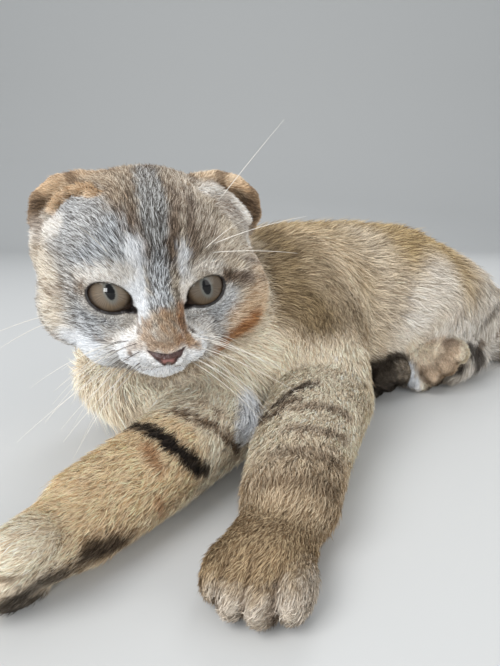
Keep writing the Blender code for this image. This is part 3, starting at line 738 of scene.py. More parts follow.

# Marks on the head, along lines of places forward, left and up in the head's frame. The right side
# of the kitten's face is the pale one, and the left side is the warmer, darker one: partly its own marks,
# partly painted shade on the side turned from the light.
HEAD_MARKS = (
    Stroke("silver", 10.0, 5.0, 0.95, ((-8, -24, 24), (3, -20, 19), (8, -14, 16))),
    Stroke("frost", 12.0, 7.0, 0.9, ((-14, -36, 8), (-6, -34, 0), (-2, -32, -8), (0, -28, -14))),
    Stroke("beige", 6.0, 6.0, 0.65, ((-18, -37, 10), (-9, -35, 5), (-8, -36, -2), (-5, -34, -8))),
    Stroke("beige", 8.0, 5.0, 0.7, ((-2, 27, 14), (-12, 37, 8), (-16, 42, -2), (-12, 41, -10))),
    Stroke("beige", 5.0, 4.0, 0.35, ((-12, 18, 34), (-6, 18, 31))),
    Stroke("white", 4.0, 4.0, 0.3, ((4, -24, -5), (8, -16, -7), (10, -11, -9))),
    Stroke("white", 4.0, 4.0, 0.65, ((9, 11, -5), (7, 19, -6), (4, 24, -3))),
    Stroke("silver", 8.0, 5.0, 0.7, ((4, 22, -12), (9, 14, -12))),
    Stroke("white", 5.0, 4.0, 0.9, ((-4, -29, -17), (5, -22, -18), (11, -13, -17))),
    Stroke("milk", 5.0, 4.0, 0.7, ((4, 22, -18), (10, 13, -17))),
    Stroke("crown", 4.2, 2.2, 0.95, ((-22, 1, 41), (-10, 0, 37), (0, 0, 32), (8, 0, 24), (11, 0, 17), (12, 0, 12))),
    Stroke("brown", 1.4, 1.6, 0.85, ((-20, -5, 40), (-8, -6, 36), (-1, -7, 32), (6, -7, 26), (9, -6, 21), (11, -4, 16), (12, -3, 11))),
    Stroke("brown", 1.5, 1.6, 0.85, ((-18, 6, 40), (-8, 7, 36), (0, 7, 31), (5, 7, 27), (9, 5, 21), (11, 4, 15), (12, 3, 11))),
    Stroke("brown", 1.4, 1.6, 0.6, ((-13, -13, 36), (1, -11, 29), (8, -9, 23), (10, -9, 19))),
    Stroke("brown", 1.7, 1.5, 0.8, ((-5, 13, 33), (6, 12, 25), (9, 11, 18), (10, 11, 13))),
    Stroke("white", 2.4, 2.4, 0.9, ((10, -7, 17), (11, -7, 12), (11, -7.5, 7))),
    Stroke("white", 3.0, 2.6, 0.9, ((11, -7.5, 7), (12, -7, 1), (13, -7, -4), (13, -9, -8))),
    Stroke("white", 1.6, 2.0, 0.85, ((11, 8, 17), (11, 8, 12), (11, 9, 6))),
    Stroke("milk", 1.8, 1.5, 0.85, ((11, 9, 5), (11, 8, -1), (11, 8, -4))),
    Stroke("silver", 2.8, 2.0, 0.9, ((12, 0, 12), (12, 0, 5), (14, 0, -1))),
    Stroke("dark", 0.7, 1.0, 0.5, ((11, -2.5, 15), (12, -1.5, 10), (13, 0, 5))),
    Stroke("dark", 0.7, 1.0, 0.5, ((11, 3, 15), (12, 2, 10), (13, 1, 5))),
    Stroke("milk", 2.4, 3.4, 0.75, ((4, -24, 8), (8, -20, 9), (9, -14, 9), (10, -10, 9))),
    Stroke("milk", 2.0, 2.6, 0.6, ((10, 12, 9), (9, 16, 10), (6, 22, 8))),
    Stroke("grey", 1.4, 1.6, 0.8, ((-1, -30, -3), (2, -26, -4), (5, -22, -6.5), (8, -16, -7.5))),
    Stroke("silver", 4.0, 3.0, 0.8, ((1, -28, -7), (5, -21, -9.5), (8, -15, -10.5))),
    Stroke("grey", 1.6, 1.8, 0.9, ((0, -29, -7), (5, -21, -9.5), (8, -14, -10.5))),
    Stroke("brown", 0.8, 1.2, 0.6, ((5, -23, -12.5), (7, -18, -13), (9, -13, -13))),
    Stroke("grey", 3.6, 2.8, 0.85, ((8, 14, -9), (7, 18, -12), (6, 21, -15))),
    Stroke("brown", 1.7, 1.8, 0.95, ((-10, -36, 1), (-4, -32, 1), (1, -27, 3), (4, -25, 4))),
    Stroke("tan", 5.0, 5.0, 0.35, ((-14, 41, 10), (-16, 44, 0))),
    Stroke("tan", 7.0, 5.0, 0.7, ((-10, 38, -2), (-5, 36, -8), (0, 30, -14))),
    Stroke("brown", 1.7, 1.8, 0.95, ((5, 23, 5.5), (-3, 31, 2), (-12, 39, -2))),
    Stroke("brown", 1.0, 1.6, 0.7, ((3, 24, 12), (-6, 33, 8), (-14, 40, 4))),
    Stroke("orange", 3.2, 3.0, 0.95, ((-4, 34, -13), (-2, 31, -16), (2, 27, -18.5), (3, 22, -22))),
    Stroke("orange", 1.8, 2.4, 0.6, ((3, 25, -18), (7, 19, -19))),
    Stroke("orange", 1.8, 2.0, 0.5, ((-10, -35, -15), (-5, -29, -21))),
    Stroke("milk", 8.6, 6.0, 0.85, ((13, -9, -15), (17, 0, -18), (13, 9, -15))),
    Stroke("white", 6.0, 5.0, 0.95, ((13, -9, -19), (16, 0, -20), (13, 9, -19))),
    Stroke("white", 7.0, 3.0, 0.95, ((8, -5, -25), (8, 5, -25))),
    Stroke("gold", 3.2, 2.2, 0.9, ((15, 0.5, -5.0), (17, 0.5, -8), (19, 0.5, -11))),
    Stroke("dusk", 1.8, 1.6, 0.9, ((15.5, -4.5, -6.5), (17, -5, -9), (19, -4, -11.8), (20, 0, -12.4))),
    Stroke("orange", 2.0, 2.6, 0.75, ((13, 6, -3.5), (16, 6, -7), (18, 6.5, -10.5))),
    Stroke("brown", 1.2, 1.8, 0.7, ((15, 7, -6), (17.5, 7, -10))),
    Stroke("gold", 1.7, 1.3, 0.8, ((18, 7, -11), (18, 10, -13))),
    Stroke("dusk", 1.2, 1.2, 0.5, ((15, -7, -8), (17, -8, -12), (16, -10.5, -13))),
    Stroke("brown", 0.6, 0.7, 0.6, ((15, -13, -13),)),
    Stroke("brown", 0.6, 0.7, 0.6, ((17, -11, -14.5),)),
    Stroke("brown", 0.6, 0.7, 0.5, ((16, -12, -16.5),)),
    Stroke("brown", 0.7, 0.7, 0.6, ((18, 10, -13),)),
    Stroke("brown", 0.8, 0.8, 0.55, ((9, -8, -3), (11, -7, -7), (14, -7, -9))),
    Stroke("dark", 0.9, 1.0, 0.85, ((10, 9, -3), (12, 9.5, -6), (14, 9, -10))),
)

# Marks on the body, in floor places like those of the body's masses.
BODY_MARKS = (
    Stroke("pale", 12.0, 18.0, 0.4, ((62, 263, 84), (69, 256, 73), (74, 252, 59), (71, 248, 45))),
    Stroke("pale", 14.0, 14.0, 0.8, ((86, 262, 26), (96, 266, 48), (110, 280, 58))),
    Stroke("milk", 6.0, 8.0, 0.6, ((88, 260, 38), (98, 264, 40), (112, 270, 30))),
    Stroke("beige", 13.0, 12.0, 0.6, ((30, 222, 14), (60, 243, 14), (86, 262, 18))),
    # Two umber strokes behind the cheek: partly darker flank coat, partly painted shadow of the head.
    Stroke("umber", 8.0, 8.0, 0.9, ((8, 236, 88), (10, 226, 80), (14, 212, 72), (20, 207, 62), (28, 204, 52))),
    Stroke("umber", 9.0, 11.0, 0.65, ((24, 226, 76), (34, 218, 62), (42, 214, 50))),
    Stroke("beige", 8.0, 9.0, 0.5, ((44, 226, 28), (56, 236, 26), (68, 246, 22))),
    Stroke("cream", 10.0, 7.0, 0.9, ((0, 188, 52), (6, 188, 44), (14, 182, 36))),
    Stroke("cream", 20.0, 9.0, 0.85, ((-46, 196, 40), (-62, 206, 30))),
    Stroke("cream", 16.0, 9.0, 0.9, ((-4, 182, 42), (-16, 168, 38), (-30, 174, 40), (-46, 192, 44))),
    # Umber at the neck and shoulder: partly darker coat, partly painted shadow of the head.
    Stroke("umber", 5.0, 6.0, 0.9, ((10, 206, 78), (12, 201, 68), (16, 199, 57))),
    Stroke("dusk", 2.4, 3.5, 0.3, ((-52, 186, 40), (-36, 182, 42), (-20, 176, 40))),
    Stroke("cream", 9.0, 6.0, 0.9, ((-40, 168, 30), (-26, 160, 38), (-14, 162, 36))),
    Stroke("cream", 10.0, 7.0, 0.8, ((22, 176, 36), (28, 166, 34), (32, 158, 26))),
    Stroke("cream", 11.0, 7.0, 0.75, ((17, 158, 34), (24, 150, 31), (17, 140, 28))),
    Stroke("honey", 16.0, 6.0, 0.75, ((-30, 138, 24), (-46, 124, 20))),
    Stroke("milk", 4.0, 4.0, 0.6, ((-26, 124, 8), (-20, 132, 8), (-14, 138, 8))),
    Stroke("black", 2.7, 1.4, 1.0, ((-40, 153, 28), (-36, 148, 31), (-32, 146, 31), (-25, 142, 28), (-18, 142, 21), (-12, 146, 14), (-8, 150, 6))),
    Stroke("brown", 1.9, 1.5, 0.95, ((-26, 155, 34), (-20, 154, 32), (-15, 154, 30), (-10, 155, 26), (-6, 158, 21), (-4, 162, 13))),
    Stroke("brown", 0.9, 1.4, 0.6, ((-32, 162, 36), (-24, 160, 34), (-14, 161, 33), (-8, 160, 28))),
    Stroke("orange", 1.6, 1.6, 0.7, ((-31, 138, 28), (-26, 133, 23))),
    Stroke("orange", 1.3, 1.6, 0.6, ((-26, 129, 16), (-26, 132, 9))),
    Stroke("dark", 1.9, 1.3, 0.95, ((3, 163, 22), (4, 162, 28), (9, 163, 32), (15, 168, 35), (24, 172, 38))),
    Stroke("brown", 1.2, 1.4, 0.8, ((6, 158, 27), (10, 158, 30), (16, 162, 33))),
    Stroke("white", 5.0, 3.0, 0.95, ((1, 172, 30), (-1, 164, 22))),
    Stroke("bronze", 14.0, 10.0, 0.65, ((18, 130, 14), (6, 118, 12), (0, 104, 8))),
    Stroke("brown", 1.2, 2.0, 0.65, ((14, 156, 34), (25, 159, 33), (34, 162, 27))),
    Stroke("brown", 1.2, 2.0, 0.55, ((10, 145, 31), (22, 146, 30), (32, 152, 23))),
    Stroke("brown", 1.6, 2.0, 0.5, ((6, 134, 28), (17, 134, 28), (28, 138, 21))),
    Stroke("brown", 1.6, 2.0, 0.4, ((0, 126, 23), (13, 124, 25), (24, 128, 18))),
    Stroke("dark", 3.0, 3.0, 0.9, ((-41, 113, 12), (-37, 117, 10), (-33, 122, 7))),
    Stroke("black", 4.4, 2.2, 0.95, ((-64, 96, 0), (-52, 102, 0), (-46, 108, 2))),
    Stroke("brown", 2.4, 3.4, 0.6, ((78, 262, 72), (82, 262, 66), (84, 260, 58), (84, 258, 48))),
    Stroke("brown", 1.6, 2.2, 0.7, ((104, 276, 56), (106, 275, 48))),
    Stroke("brown", 1.8, 2.2, 0.85, ((138, 298, 50), (132, 292, 48), (124, 284, 44), (116, 277, 40))),
    Stroke("dark", 2.2, 2.2, 0.8, ((158, 314, 40), (155, 309, 38), (145, 300, 34), (136, 290, 28))),
    Stroke("brown", 1.8, 2.2, 0.8, ((146, 298, 24), (136, 287, 22), (130, 280, 17))),
    Stroke("brown", 2.0, 2.2, 0.8, ((162, 320, 30), (158, 312, 20))),
    Stroke("black", 14.0, 3.0, 0.9, ((78, 268, 10), (68, 254, 12), (62, 247, 12))),
    Stroke("black", 5.0, 3.0, 0.85, ((126, 277, 21), (131, 281, 14), (134, 284, 6))),
    Stroke("gold", 10.0, 3.0, 0.6, ((102, 262, 26), (100, 258, 18))),
    Stroke("cream", 6.0, 4.0, 0.8, ((90, 267, 24), (99, 264, 22))),
    Stroke("black", 4.0, 1.8, 0.95, ((116, 266, 14), (110, 260, 7), (102, 258, 2))),
    Stroke("white", 4.6, 2.4, 0.95, ((88, 264, 6), (90, 254, 5), (86, 268, 12))),
    Stroke("pale", 6.0, 4.0, 0.6, ((-10, 98, 5), (0, 95, 4), (8, 97, 5), (14, 103, 6))),
)

# Painted shade in the mouth of each ear's hollow, and the white tuft under it, in the head's frame.
EAR_SHADE = {
    1.0: ((-24.0, 35.0, 28.5), (-26.0, 39.5, 25.5), (-27.0, 43.0, 21.5)),
    -1.0: ((-22.0, -30.5, 28.5), (-25.5, -33.0, 26.0), (-27.0, -36.0, 25.0)),
}
EAR_TUFT = {
    1.0: ((-26.0, 39.5, 13.0), (-19.0, 38.0, 12.0)),
    -1.0: ((-27.0, -36.5, 18.0), (-18.0, -33.0, 20.0), (-10.0, -29.0, 21.0)),
}

ZONE_PELT = {
    "trunk": "sand",
    "neck": "beige",
    "tail": "pale",
    "foreleg_left": "beige",
    "foreleg_right": "cream",
    "forepaw_left": "bronze",
    "forepaw_right": "cream",
    "hindpaw_left": "cream",
    "hindpaw_right": "black",
    "thigh": "pale",
    "head": "ticked",
    "ear_left": "tan",
    "ear_right": "tan",
}
TAIL_RINGS = 17.0


class Coat:
    """The colours of light and dark hairs at many places, and the share of dark ones."""

    def __init__(self, zones, weights):
        pelts = [PELTS[ZONE_PELT[zone.name]] for zone in zones]
        self.light = weights @ np.array([p.light for p in pelts])
        self.dark = weights @ np.array([p.dark for p in pelts])
        self.share = weights @ np.array([p.share for p in pelts])

    def paint(self, pelt, weight):
        pelt = PELTS[pelt]
        self.light += (pelt.light - self.light) * weight[:, None]
        self.dark += (pelt.dark - self.dark) * weight[:, None]
        self.share += (pelt.share - self.share) * weight

    def strokes(self, marks, places, allowed):
        ragged = ripple(places, 3.0, 5) * 0.5
        for mark in marks:
            gap = line_distance(places, mark.points) + ragged * min(mark.soft, 1.5)
            weight = mark.strength * (1.0 - smoothstep(mark.radius - mark.soft * 0.5, mark.radius + mark.soft, gap))
            self.paint(mark.pelt, weight * allowed)


ZONE_SOFTNESS = 3.4


def zone_weights(zones, points):
    """How much each zone counts at each point: all of it deep in a zone, shared where zones meet."""
    gaps = np.stack([zone.distance(points) for zone in zones], axis=1)
    nearness = np.exp(-(gaps - gaps.min(axis=1, keepdims=True)) / ZONE_SOFTNESS)
    return nearness / nearness.sum(axis=1, keepdims=True)


def marked(zones, weights, points):
    """The coat's colours at places on the skin."""
    names = [zone.name for zone in zones]
    coat = Coat(zones, weights)
    body = points - FLOOR.origin
    head = HEAD.local(points)
    on = {name: weights[:, i] for i, name in enumerate(names)}
    on_head = on["head"] + on["ear_left"] + on["ear_right"]

    travel, tangent, offset = Chain(BACK).follow(points)
    coat.paint("pale", on["trunk"] * 0.65 * smoothstep(125.0, 205.0, travel))
    coat.paint("pale", on["trunk"] * 0.35 * smoothstep(45.0, 8.0, body[:, 2]))
    wave = np.sin(travel * 2.0 * math.pi / 21.0 + 1.3 * ripple(points, 30.0, 8)) + 0.5 * ripple(points, 9.0, 9)
    coat.paint("brown", on["trunk"] * 0.22 * smoothstep(0.2, 1.2, wave))

    tail_travel = Chain(TAIL).follow(points)[0]
    ring = np.sin(tail_travel * 2.0 * math.pi / TAIL_RINGS + 0.6 * ripple(points, 14.0, 12))
    coat.paint("brown", on["tail"] * 0.75 * smoothstep(0.0, 0.8, ring))
    coat.paint("dark", on["tail"] * 0.6 * smoothstep(150.0, 185.0, tail_travel))

    coat.strokes(BODY_MARKS, body, 1.0 - on_head)
    coat.strokes(HEAD_MARKS, head, np.minimum(on_head + on["neck"] * smoothstep(-24.0, -12.0, head[:, 0]), 1.0))
    paint_ears(coat, head, on)
    paint_back_of_head(coat, head, on_head)
    paint_paws(coat, points, on)
    return coat


def paint_back_of_head(coat, head, on_head):
    """Crown and nape, in lines that run back from the brow."""
    behind = smoothstep(-12.0, -26.0, head[:, 0]) * on_head
    lines = np.sin(head[:, 1] * 2.0 * math.pi / 13.0 + 0.8 * ripple(head, 16.0, 14))
    upper = smoothstep(6.0, 18.0, head[:, 2])
    coat.paint("brown", behind * upper * 0.65 * smoothstep(0.1, 0.9, lines))


def paint_ears(coat, head, on):
    """Tan bands, painted shade in the hollows and in a dent by each ear's root, fronts with a pale edge,
    and a white tuft under each hollow.
    """
    for side, name in ((1.0, "ear_left"), (-1.0, "ear_right")):
        front = smoothstep(-26.0, -21.0, head[:, 0]) * on[name]
        coat.paint("silver" if side > 0 else "ticked", front * 0.85)
        top = smoothstep(30.0, 36.0, head[:, 2])
        coat.paint("beige" if side > 0 else "dusk", on[name] * 0.5 * top * (1.0 - front))
        hollow = line_distance(head, [p[:3] for p in EAR_HOLLOW[side]])
        painted_hollow_shade = 1.0 - smoothstep(2.4, 4.2, hollow)
        # Painted shade in each ear's hollow, darkest low down.
        coat.paint("dark", painted_hollow_shade * on[name] * (0.35 + 0.65 * smoothstep(29.0, 23.0, head[:, 2])))
        edge = 1.0 - smoothstep(1.6, 2.9, line_distance(head, FLAP_EDGE[side]))
        # Painted shade at the mouth of each hollow.
        shade = 1.0 - smoothstep(1.6, 4.6, line_distance(head, EAR_SHADE[side]))
        coat.paint("dark", 0.9 * shade * on[name])
        coat.paint("milk" if side > 0 else "tan", 0.85 * edge)
        tuft = 1.0 - smoothstep(2.0, 6.5, line_distance(head, EAR_TUFT[side]))
        coat.paint("milk", 0.7 * tuft)
        # Painted shade in the dent where each ear's front meets the crown.
        painted_dent_shade = line_distance(head, [(-14.0, side * 16.5, 34.5)])
        coat.paint("dark", 0.75 * (1.0 - smoothstep(1.0, 3.4, painted_dent_shade)))
    coat.paint("leather_rim", 1.0 - smoothstep(0.1, 0.6, nose_gap(head)))
    coat.paint("leather", 1.0 - smoothstep(-1.0, -0.3, nose_gap(head)))
    rim = lid_gap(head @ HEAD.axes + HEAD.origin)
    coat.paint("black", 1.0 - smoothstep(0.25, 0.8, rim))


def paint_paws(coat, points, on):
    """Dark soles, and painted shade in the creases between the toes."""
    for name, base in (("forepaw_left", LEFT_PAW), ("forepaw_right", RIGHT_PAW), ("hindpaw_left", LEFT_HINDPAW)):
        q = base.local(points)
        low = smoothstep(14.0, 9.0, points[:, 2])
        coat.paint("black", on[name] * 0.9 * smoothstep(-5.5, -7.5, q[:, 2]) * low)
        strength = 0.2 if name == "hindpaw_left" else 0.55
        # Painted shade in the creases between the toes.
        for seam in (-6.5, 0.0, 6.5):
            crease_shade = 1.0 - smoothstep(0.3, 1.3, np.abs(q[:, 1] - seam))
            coat.paint("brown", on[name] * strength * crease_shade * smoothstep(5.0, 10.0, q[:, 0]))


# Bare places: the leather of the nose and the rims of the eyes.

NOSE_TOP = -14.0
NOSE_FOOT = -17.6


def nose_gap(head):
    """Millimetres outside the edge of the nose leather, a blunt triangle that points down."""
    rise = np.clip((head[:, 2] - NOSE_FOOT) / (NOSE_TOP - NOSE_FOOT), 0.0, 1.2)
    half_wide = 0.8 + 4.0 * rise ** 0.8
    side = np.abs(head[:, 1]) - half_wide
    end = np.maximum(head[:, 2] - NOSE_TOP - 0.1 * np.abs(head[:, 1]), NOSE_FOOT - head[:, 2])
    behind = 16.2 - head[:, 0]
    return np.maximum(np.maximum(side, end), behind)


def nostril_gap(head):
    """Millimetres outside the dark slits that run from the nostrils to the sides of the leather."""
    inner = np.array(NOSTRIL)
    gap = np.full(len(head), 100.0)
    for side in (1.0, -1.0):
        line = [(inner[0] - 2.4, side * (inner[1] - 0.6), inner[2] - 1.0), (inner[0] - 3.4, side * (inner[1] + 1.9), inner[2] + 0.5)]
        gap = np.minimum(gap, line_distance(head, line))
    return gap - 0.5


LOWER_RIM = 0.3


def oval_gap(across, upward, half_wide, half_tall):
    """Millimetres outside an upright oval, seen from the front."""
    near = np.hypot(across / half_wide, upward / half_tall)
    steep = np.hypot(across / half_wide ** 2, upward / half_tall ** 2)
    return near * (near - 1.0) / np.maximum(steep, 1e-6)


def lid_gap(points):
    """How far outside the nearer eye's opening a point lies, in millimetres across the lid."""
    gap = np.full(len(points), 100.0)
    half_wide, half_tall = opening_size()
    for side in (1.0, -1.0):
        q = eye_frame(side).local(points)
        opening = oval_gap(q[:, 1], q[:, 2] - LID_CENTRE[2] + LOWER_RIM, half_wide, half_tall)
        corner = oval_gap(q[:, 1] + side * TEAR_CORNER[1], q[:, 2] - TEAR_CORNER[2], TEAR_SIZE[1], TEAR_SIZE[2])
        far = (np.linalg.norm(q, axis=1) > 16.0) | (q[:, 0] < 0.0)
        gap = np.minimum(gap, np.where(far, 100.0, np.minimum(opening, corner)))
    return gap


def mouth_gap(head):
    """Millimetres from the line of the mouth, seen from the front."""
    gap = np.full(len(head), 100.0)
    for side in (1.0, -1.0):
        gap = np.minimum(gap, line_distance(head[:, 1:], [(side * l, u) for l, u in MOUTH]))
    gap = np.minimum(gap, line_distance(head[:, 1:], [(l, u) for l, u in MOUTH_GROOVE]))
    return np.where(head[:, 0] > 2.0, gap, 100.0)


def opening_size():
    """Half the width and height of the lids' opening where it meets the eyeball."""
    depth = (LID_CENTRE[0] - 8.4) / LID_OPENING[0]
    narrowing = math.sqrt(1.0 - depth * depth)
    return LID_OPENING[1] * narrowing, LID_OPENING[2] * narrowing


# Meshes.

def mesh_object(name, points, loops, sizes):
    """An object from corner numbers and the number of corners of each face."""
    mesh = bpy.data.meshes.new(name)
    mesh.vertices.add(len(points))
    mesh.vertices.foreach_set("co", (points * MM).astype(np.float32).ravel())
    mesh.loops.add(len(loops))
    mesh.loops.foreach_set("vertex_index", loops.astype(np.int32))
    starts = np.concatenate([[0], np.cumsum(sizes)[:-1]])
    mesh.polygons.add(len(sizes))
    mesh.polygons.foreach_set("loop_start", starts.astype(np.int32))
    mesh.update(calc_edges=True)
    mesh.shade_smooth()
    made = bpy.data.objects.new(name, mesh)
    bpy.context.scene.collection.objects.link(made)
    return made


def set_colours(thing, colours):
    attribute = thing.data.color_attributes.new("Col", "FLOAT_COLOR", "POINT")
    opaque = np.ones((len(colours), 4), np.float32)
    opaque[:, :3] = colours
    attribute.data.foreach_set("color", opaque.ravel())


def set_values(thing, name, values):
    attribute = thing.data.attributes.new(name, "FLOAT", "POINT")
    attribute.data.foreach_set("value", values.astype(np.float32))


def set_unwrap(thing, uv):
    layer = thing.data.uv_layers.new(name="OFBake")
    layer.data.foreach_set("uv", uv.astype(np.float32).ravel())


def unwrap_faces(zones, owner, points, centres):
    """Places of face corners on the unwrap, each by the zone that owns its face."""
    uv = np.zeros((len(points), 2))
    for i, zone in enumerate(zones):
        mine = owner == i
        if mine.any():
            uv[mine] = zone.unwrap(points[mine], centres[mine])
    return uv


def make_skin(zones, points, quads, normals, weights, coat):
    """The one skin, in the colours of the coat's roots, with bare leather and dark lid rims."""
    skin = mesh_object("skin", points, quads.ravel(), np.full(len(quads), 4))
    colour = coat.light + (coat.dark - coat.light) * coat.share[:, None]
    # Painted shade under the coat: the skin is darkened, with a random swell of tone.
    colour = colour * (0.72 + 0.1 * ripple(points, 1.6, 21))[:, None]
    head = HEAD.local(points)
    nose = nose_gap(head)
    leather = 1.0 - smoothstep(0.0, 0.5, nose)
    rim = 1.0 - smoothstep(0.3, 0.8, lid_gap(points))
    colour += (tone(26, 20, 18) - colour) * rim[:, None]
    colour += (tone(70, 46, 42) - colour) * leather[:, None]
    centre_pink = (1.0 - smoothstep(-1.7, -0.5, nose)) * smoothstep(-14.8, -15.8, head[:, 2])
    colour += (tone(150, 106, 100) - colour) * (0.9 * centre_pink)[:, None]
    # Painted shade inside the nostril slits.
    colour += (tone(24, 15, 14) - colour) * (leather * (1.0 - smoothstep(-0.2, 0.5, nostril_gap(head))))[:, None]
    # Painted shade along the line of the mouth, on the bare lips.
    lips = 1.0 - smoothstep(0.4, 1.0, mouth_gap(head))
    colour += (tone(124, 108, 102) - colour) * (0.8 * lips)[:, None]
    set_colours(skin, np.clip(colour, 0.004, 1.0))
    set_values(skin, "bare", np.maximum(leather, rim * 0.8))
    centre = points[quads].mean(axis=1)
    owner = weights[quads].mean(axis=1).argmax(axis=1)
    corners = points[quads].reshape(-1, 3)
    uv = unwrap_faces(zones, np.repeat(owner, 4), corners, np.repeat(centre, 4, axis=0))
    set_unwrap(skin, uv)
    return skin


def scatter(points, quads, density, draw):
    """Random places on the faces, about so many to each square millimetre."""
    a, b, c, d = (points[quads[:, i]] for i in range(4))
    halves = np.stack([np.cross(b - a, c - a), np.cross(c - a, d - a)], axis=1)
    areas = np.linalg.norm(halves, axis=2) / 2.0
    wanted = np.cumsum(areas.sum(axis=1) * density[quads].mean(axis=1))
    marks = np.floor(wanted + draw.uniform())
    counts = np.diff(np.concatenate([[0.0], marks])).astype(int)
    face = np.repeat(np.arange(len(quads)), counts)
    u, v = draw.uniform(size=(2, len(face)))
    shares = np.stack([(1 - u) * (1 - v), u * (1 - v), u * v, (1 - u) * v], axis=1)
    return face, shares


def spread(values, quads, face, shares):
    """Values of skin points, carried to the scattered places."""
    corners = values[quads[face]]
    return np.einsum("ij,ij...->i...", shares, corners)


def clump(places, size, draw):
    """The tuft that each place belongs to."""
    turn = Frame((0.0, 0.0, 0.0), 33.0, 21.0, 14.0).axes
    bent = places @ turn.T + np.stack([ripple(places, 11.0, s) for s in (31, 32, 33)], axis=1) * size[:, None] * 0.3
    cell = np.floor(bent / size[:, None]).astype(np.int64)
    key = (cell[:, 0] * 73856093) ^ (cell[:, 1] * 19349663) ^ (cell[:, 2] * 83492791)
    unused, tuft = np.unique(key, return_inverse=True)
    return tuft


def tuft_mean(tuft, values):
    count = np.bincount(tuft)
    columns = [np.bincount(tuft, values[:, i]) / count for i in range(values.shape[1])]
    return np.stack(columns, axis=1)[tuft]


def growth_at(zones, weights, name):
    return weights @ np.array([getattr(zone.growth, name) for zone in zones])


def grow(zones, points, quads, normals, weights):
    """Hairs in tufts over the whole skin. Each is a narrow blade of two lengths that bends down."""
    draw = np.random.default_rng(SEED)
    density = growth_at(zones, weights, "density") * HAIR_SHARE
    bare = bare_places(points)
    density = density * (1.0 - bare)
    density *= np.where((points[:, 2] < 1.6) & (normals[:, 2] < -0.2), 0.0, 1.0)
    face, shares = scatter(points, quads, density, draw)
    root = spread(points, quads, face, shares)
    normal = unit(spread(normals, quads, face, shares))
    mix = spread(weights, quads, face, shares)
    count = len(root)

    lie = np.zeros((count, 3))
    for i, zone in enumerate(zones):
        counts = mix[:, i] > 0.02
        lie[counts] += mix[counts, i, None] * zone.lie(root[counts])
    names = [zone.name for zone in zones]
    calm = 1.0 - 0.5 * mix[:, names.index("head")]
    swirl = np.stack([ripple(root, 23.0, s) for s in (41, 42, 43)], axis=1) * 0.16
    lie = lie + (swirl + draw.normal(size=(count, 3)) * 0.13) * calm[:, None]
    lie = round_eyes(root, lie)
    lie = unit(lie - normal * np.einsum("ij,ij->i", lie, normal)[:, None])

    length = growth_at(zones, mix, "length") * face_length(root, mix, zones)
    length *= draw.uniform(0.72, 1.22, count) * np.where(draw.uniform(size=count) < 0.04, 1.3, 1.0)
    width = growth_at(zones, mix, "width") * draw.uniform(0.75, 1.25, count) * math.sqrt(1.0 / HAIR_SHARE)
    lift = np.radians(growth_at(zones, mix, "lift")) * draw.uniform(0.6, 1.4, count)

    tuft = clump(root, growth_at(zones, mix, "tuft"), draw)
    pull = growth_at(zones, mix, "draw") * draw.uniform(0.3, 1.3, count)
    gather = tuft_mean(tuft, root)
    tuft_lean = draw.normal(size=(tuft.max() + 1, 3))[tuft] * 0.16
    tuft_tone = draw.normal(size=tuft.max() + 1)[tuft]
    lie = unit(lie + tuft_lean - normal * np.einsum("ij,ij->i", tuft_lean, normal)[:, None])

    rise = normal * np.sin(lift)[:, None] + lie * np.cos(lift)[:, None]
    settle = normal * np.sin(lift * 0.35)[:, None] + lie * np.cos(lift * 0.35)[:, None]
    middle = root + rise * (length * 0.5)[:, None]
    tip = middle + settle * (length * 0.5)[:, None]
    toward = gather - root
    toward -= normal * np.einsum("ij,ij->i", toward, normal)[:, None]
    middle += toward * (pull * 0.35)[:, None]
    tip += toward * pull[:, None]

    across = unit(np.cross(normal, lie))
    twist = draw.normal(size=count) * 0.5
    across = across * np.cos(twist)[:, None] + normal * np.sin(twist)[:, None]
    half = across * (width * 0.5)[:, None]
    start = root - normal * 0.25
    vertices = np.stack([start - half, start + half, middle + half * 0.8, middle - half * 0.8, tip], axis=1)
    vertices[:, :, 2] = np.maximum(vertices[:, :, 2], 0.25)

    seen = root + lie * (length * 0.5)[:, None]
    colour = hair_colours(marked(zones, mix, seen), tuft_tone, draw)
    owner = mix.argmax(axis=1)
    uv = unwrap_faces(zones, owner, root, root)
    make_coat_pieces(zones, owner, vertices, colour, uv)


def round_eyes(root, lie):
    """Turn hair that would grow over the rim of an eye, so that it runs along the rim."""
    for side in (1.0, -1.0):
        toward = unit(eye_frame(side).place((7.0, 0.0, 0.0)) - root)
        gap = lid_gap(root)
        near = (np.linalg.norm(eye_frame(side).local(root), axis=1) < 22.0) * (1.0 - smoothstep(1.0, 4.0, gap))
        inward = np.maximum(np.einsum("ij,ij->i", lie, toward) + 0.35, 0.0)
        lie = lie - toward * (inward * near)[:, None]
    return unit(lie)


def bare_places(points):
    """The nose leather and the rims of the lids carry no hair."""
    head = HEAD.local(points)
    leather = 1.0 - smoothstep(-0.2, 0.3, nose_gap(head))
    rim = 1.0 - smoothstep(0.1, 0.5, lid_gap(points))
    lips = 1.0 - smoothstep(0.2, 0.6, mouth_gap(head))
    return np.maximum(np.maximum(leather, rim), lips)


def face_length(root, mix, zones):
    """Hair is shortest on the nose and round the eyes, and longest on the cheeks."""
    names = [zone.name for zone in zones]
    on_head = mix[:, names.index("head")]
    from_nose = np.linalg.norm(root - HEAD.place(NOSE_PLACE), axis=1)
    by_nose = 0.26 + 0.74 * smoothstep(5.0, 38.0, from_nose)
    by_lid = 0.18 + 0.82 * smoothstep(0.3, 7.0, lid_gap(root))
    return 1.0 + on_head * (by_nose * by_lid - 1.0)


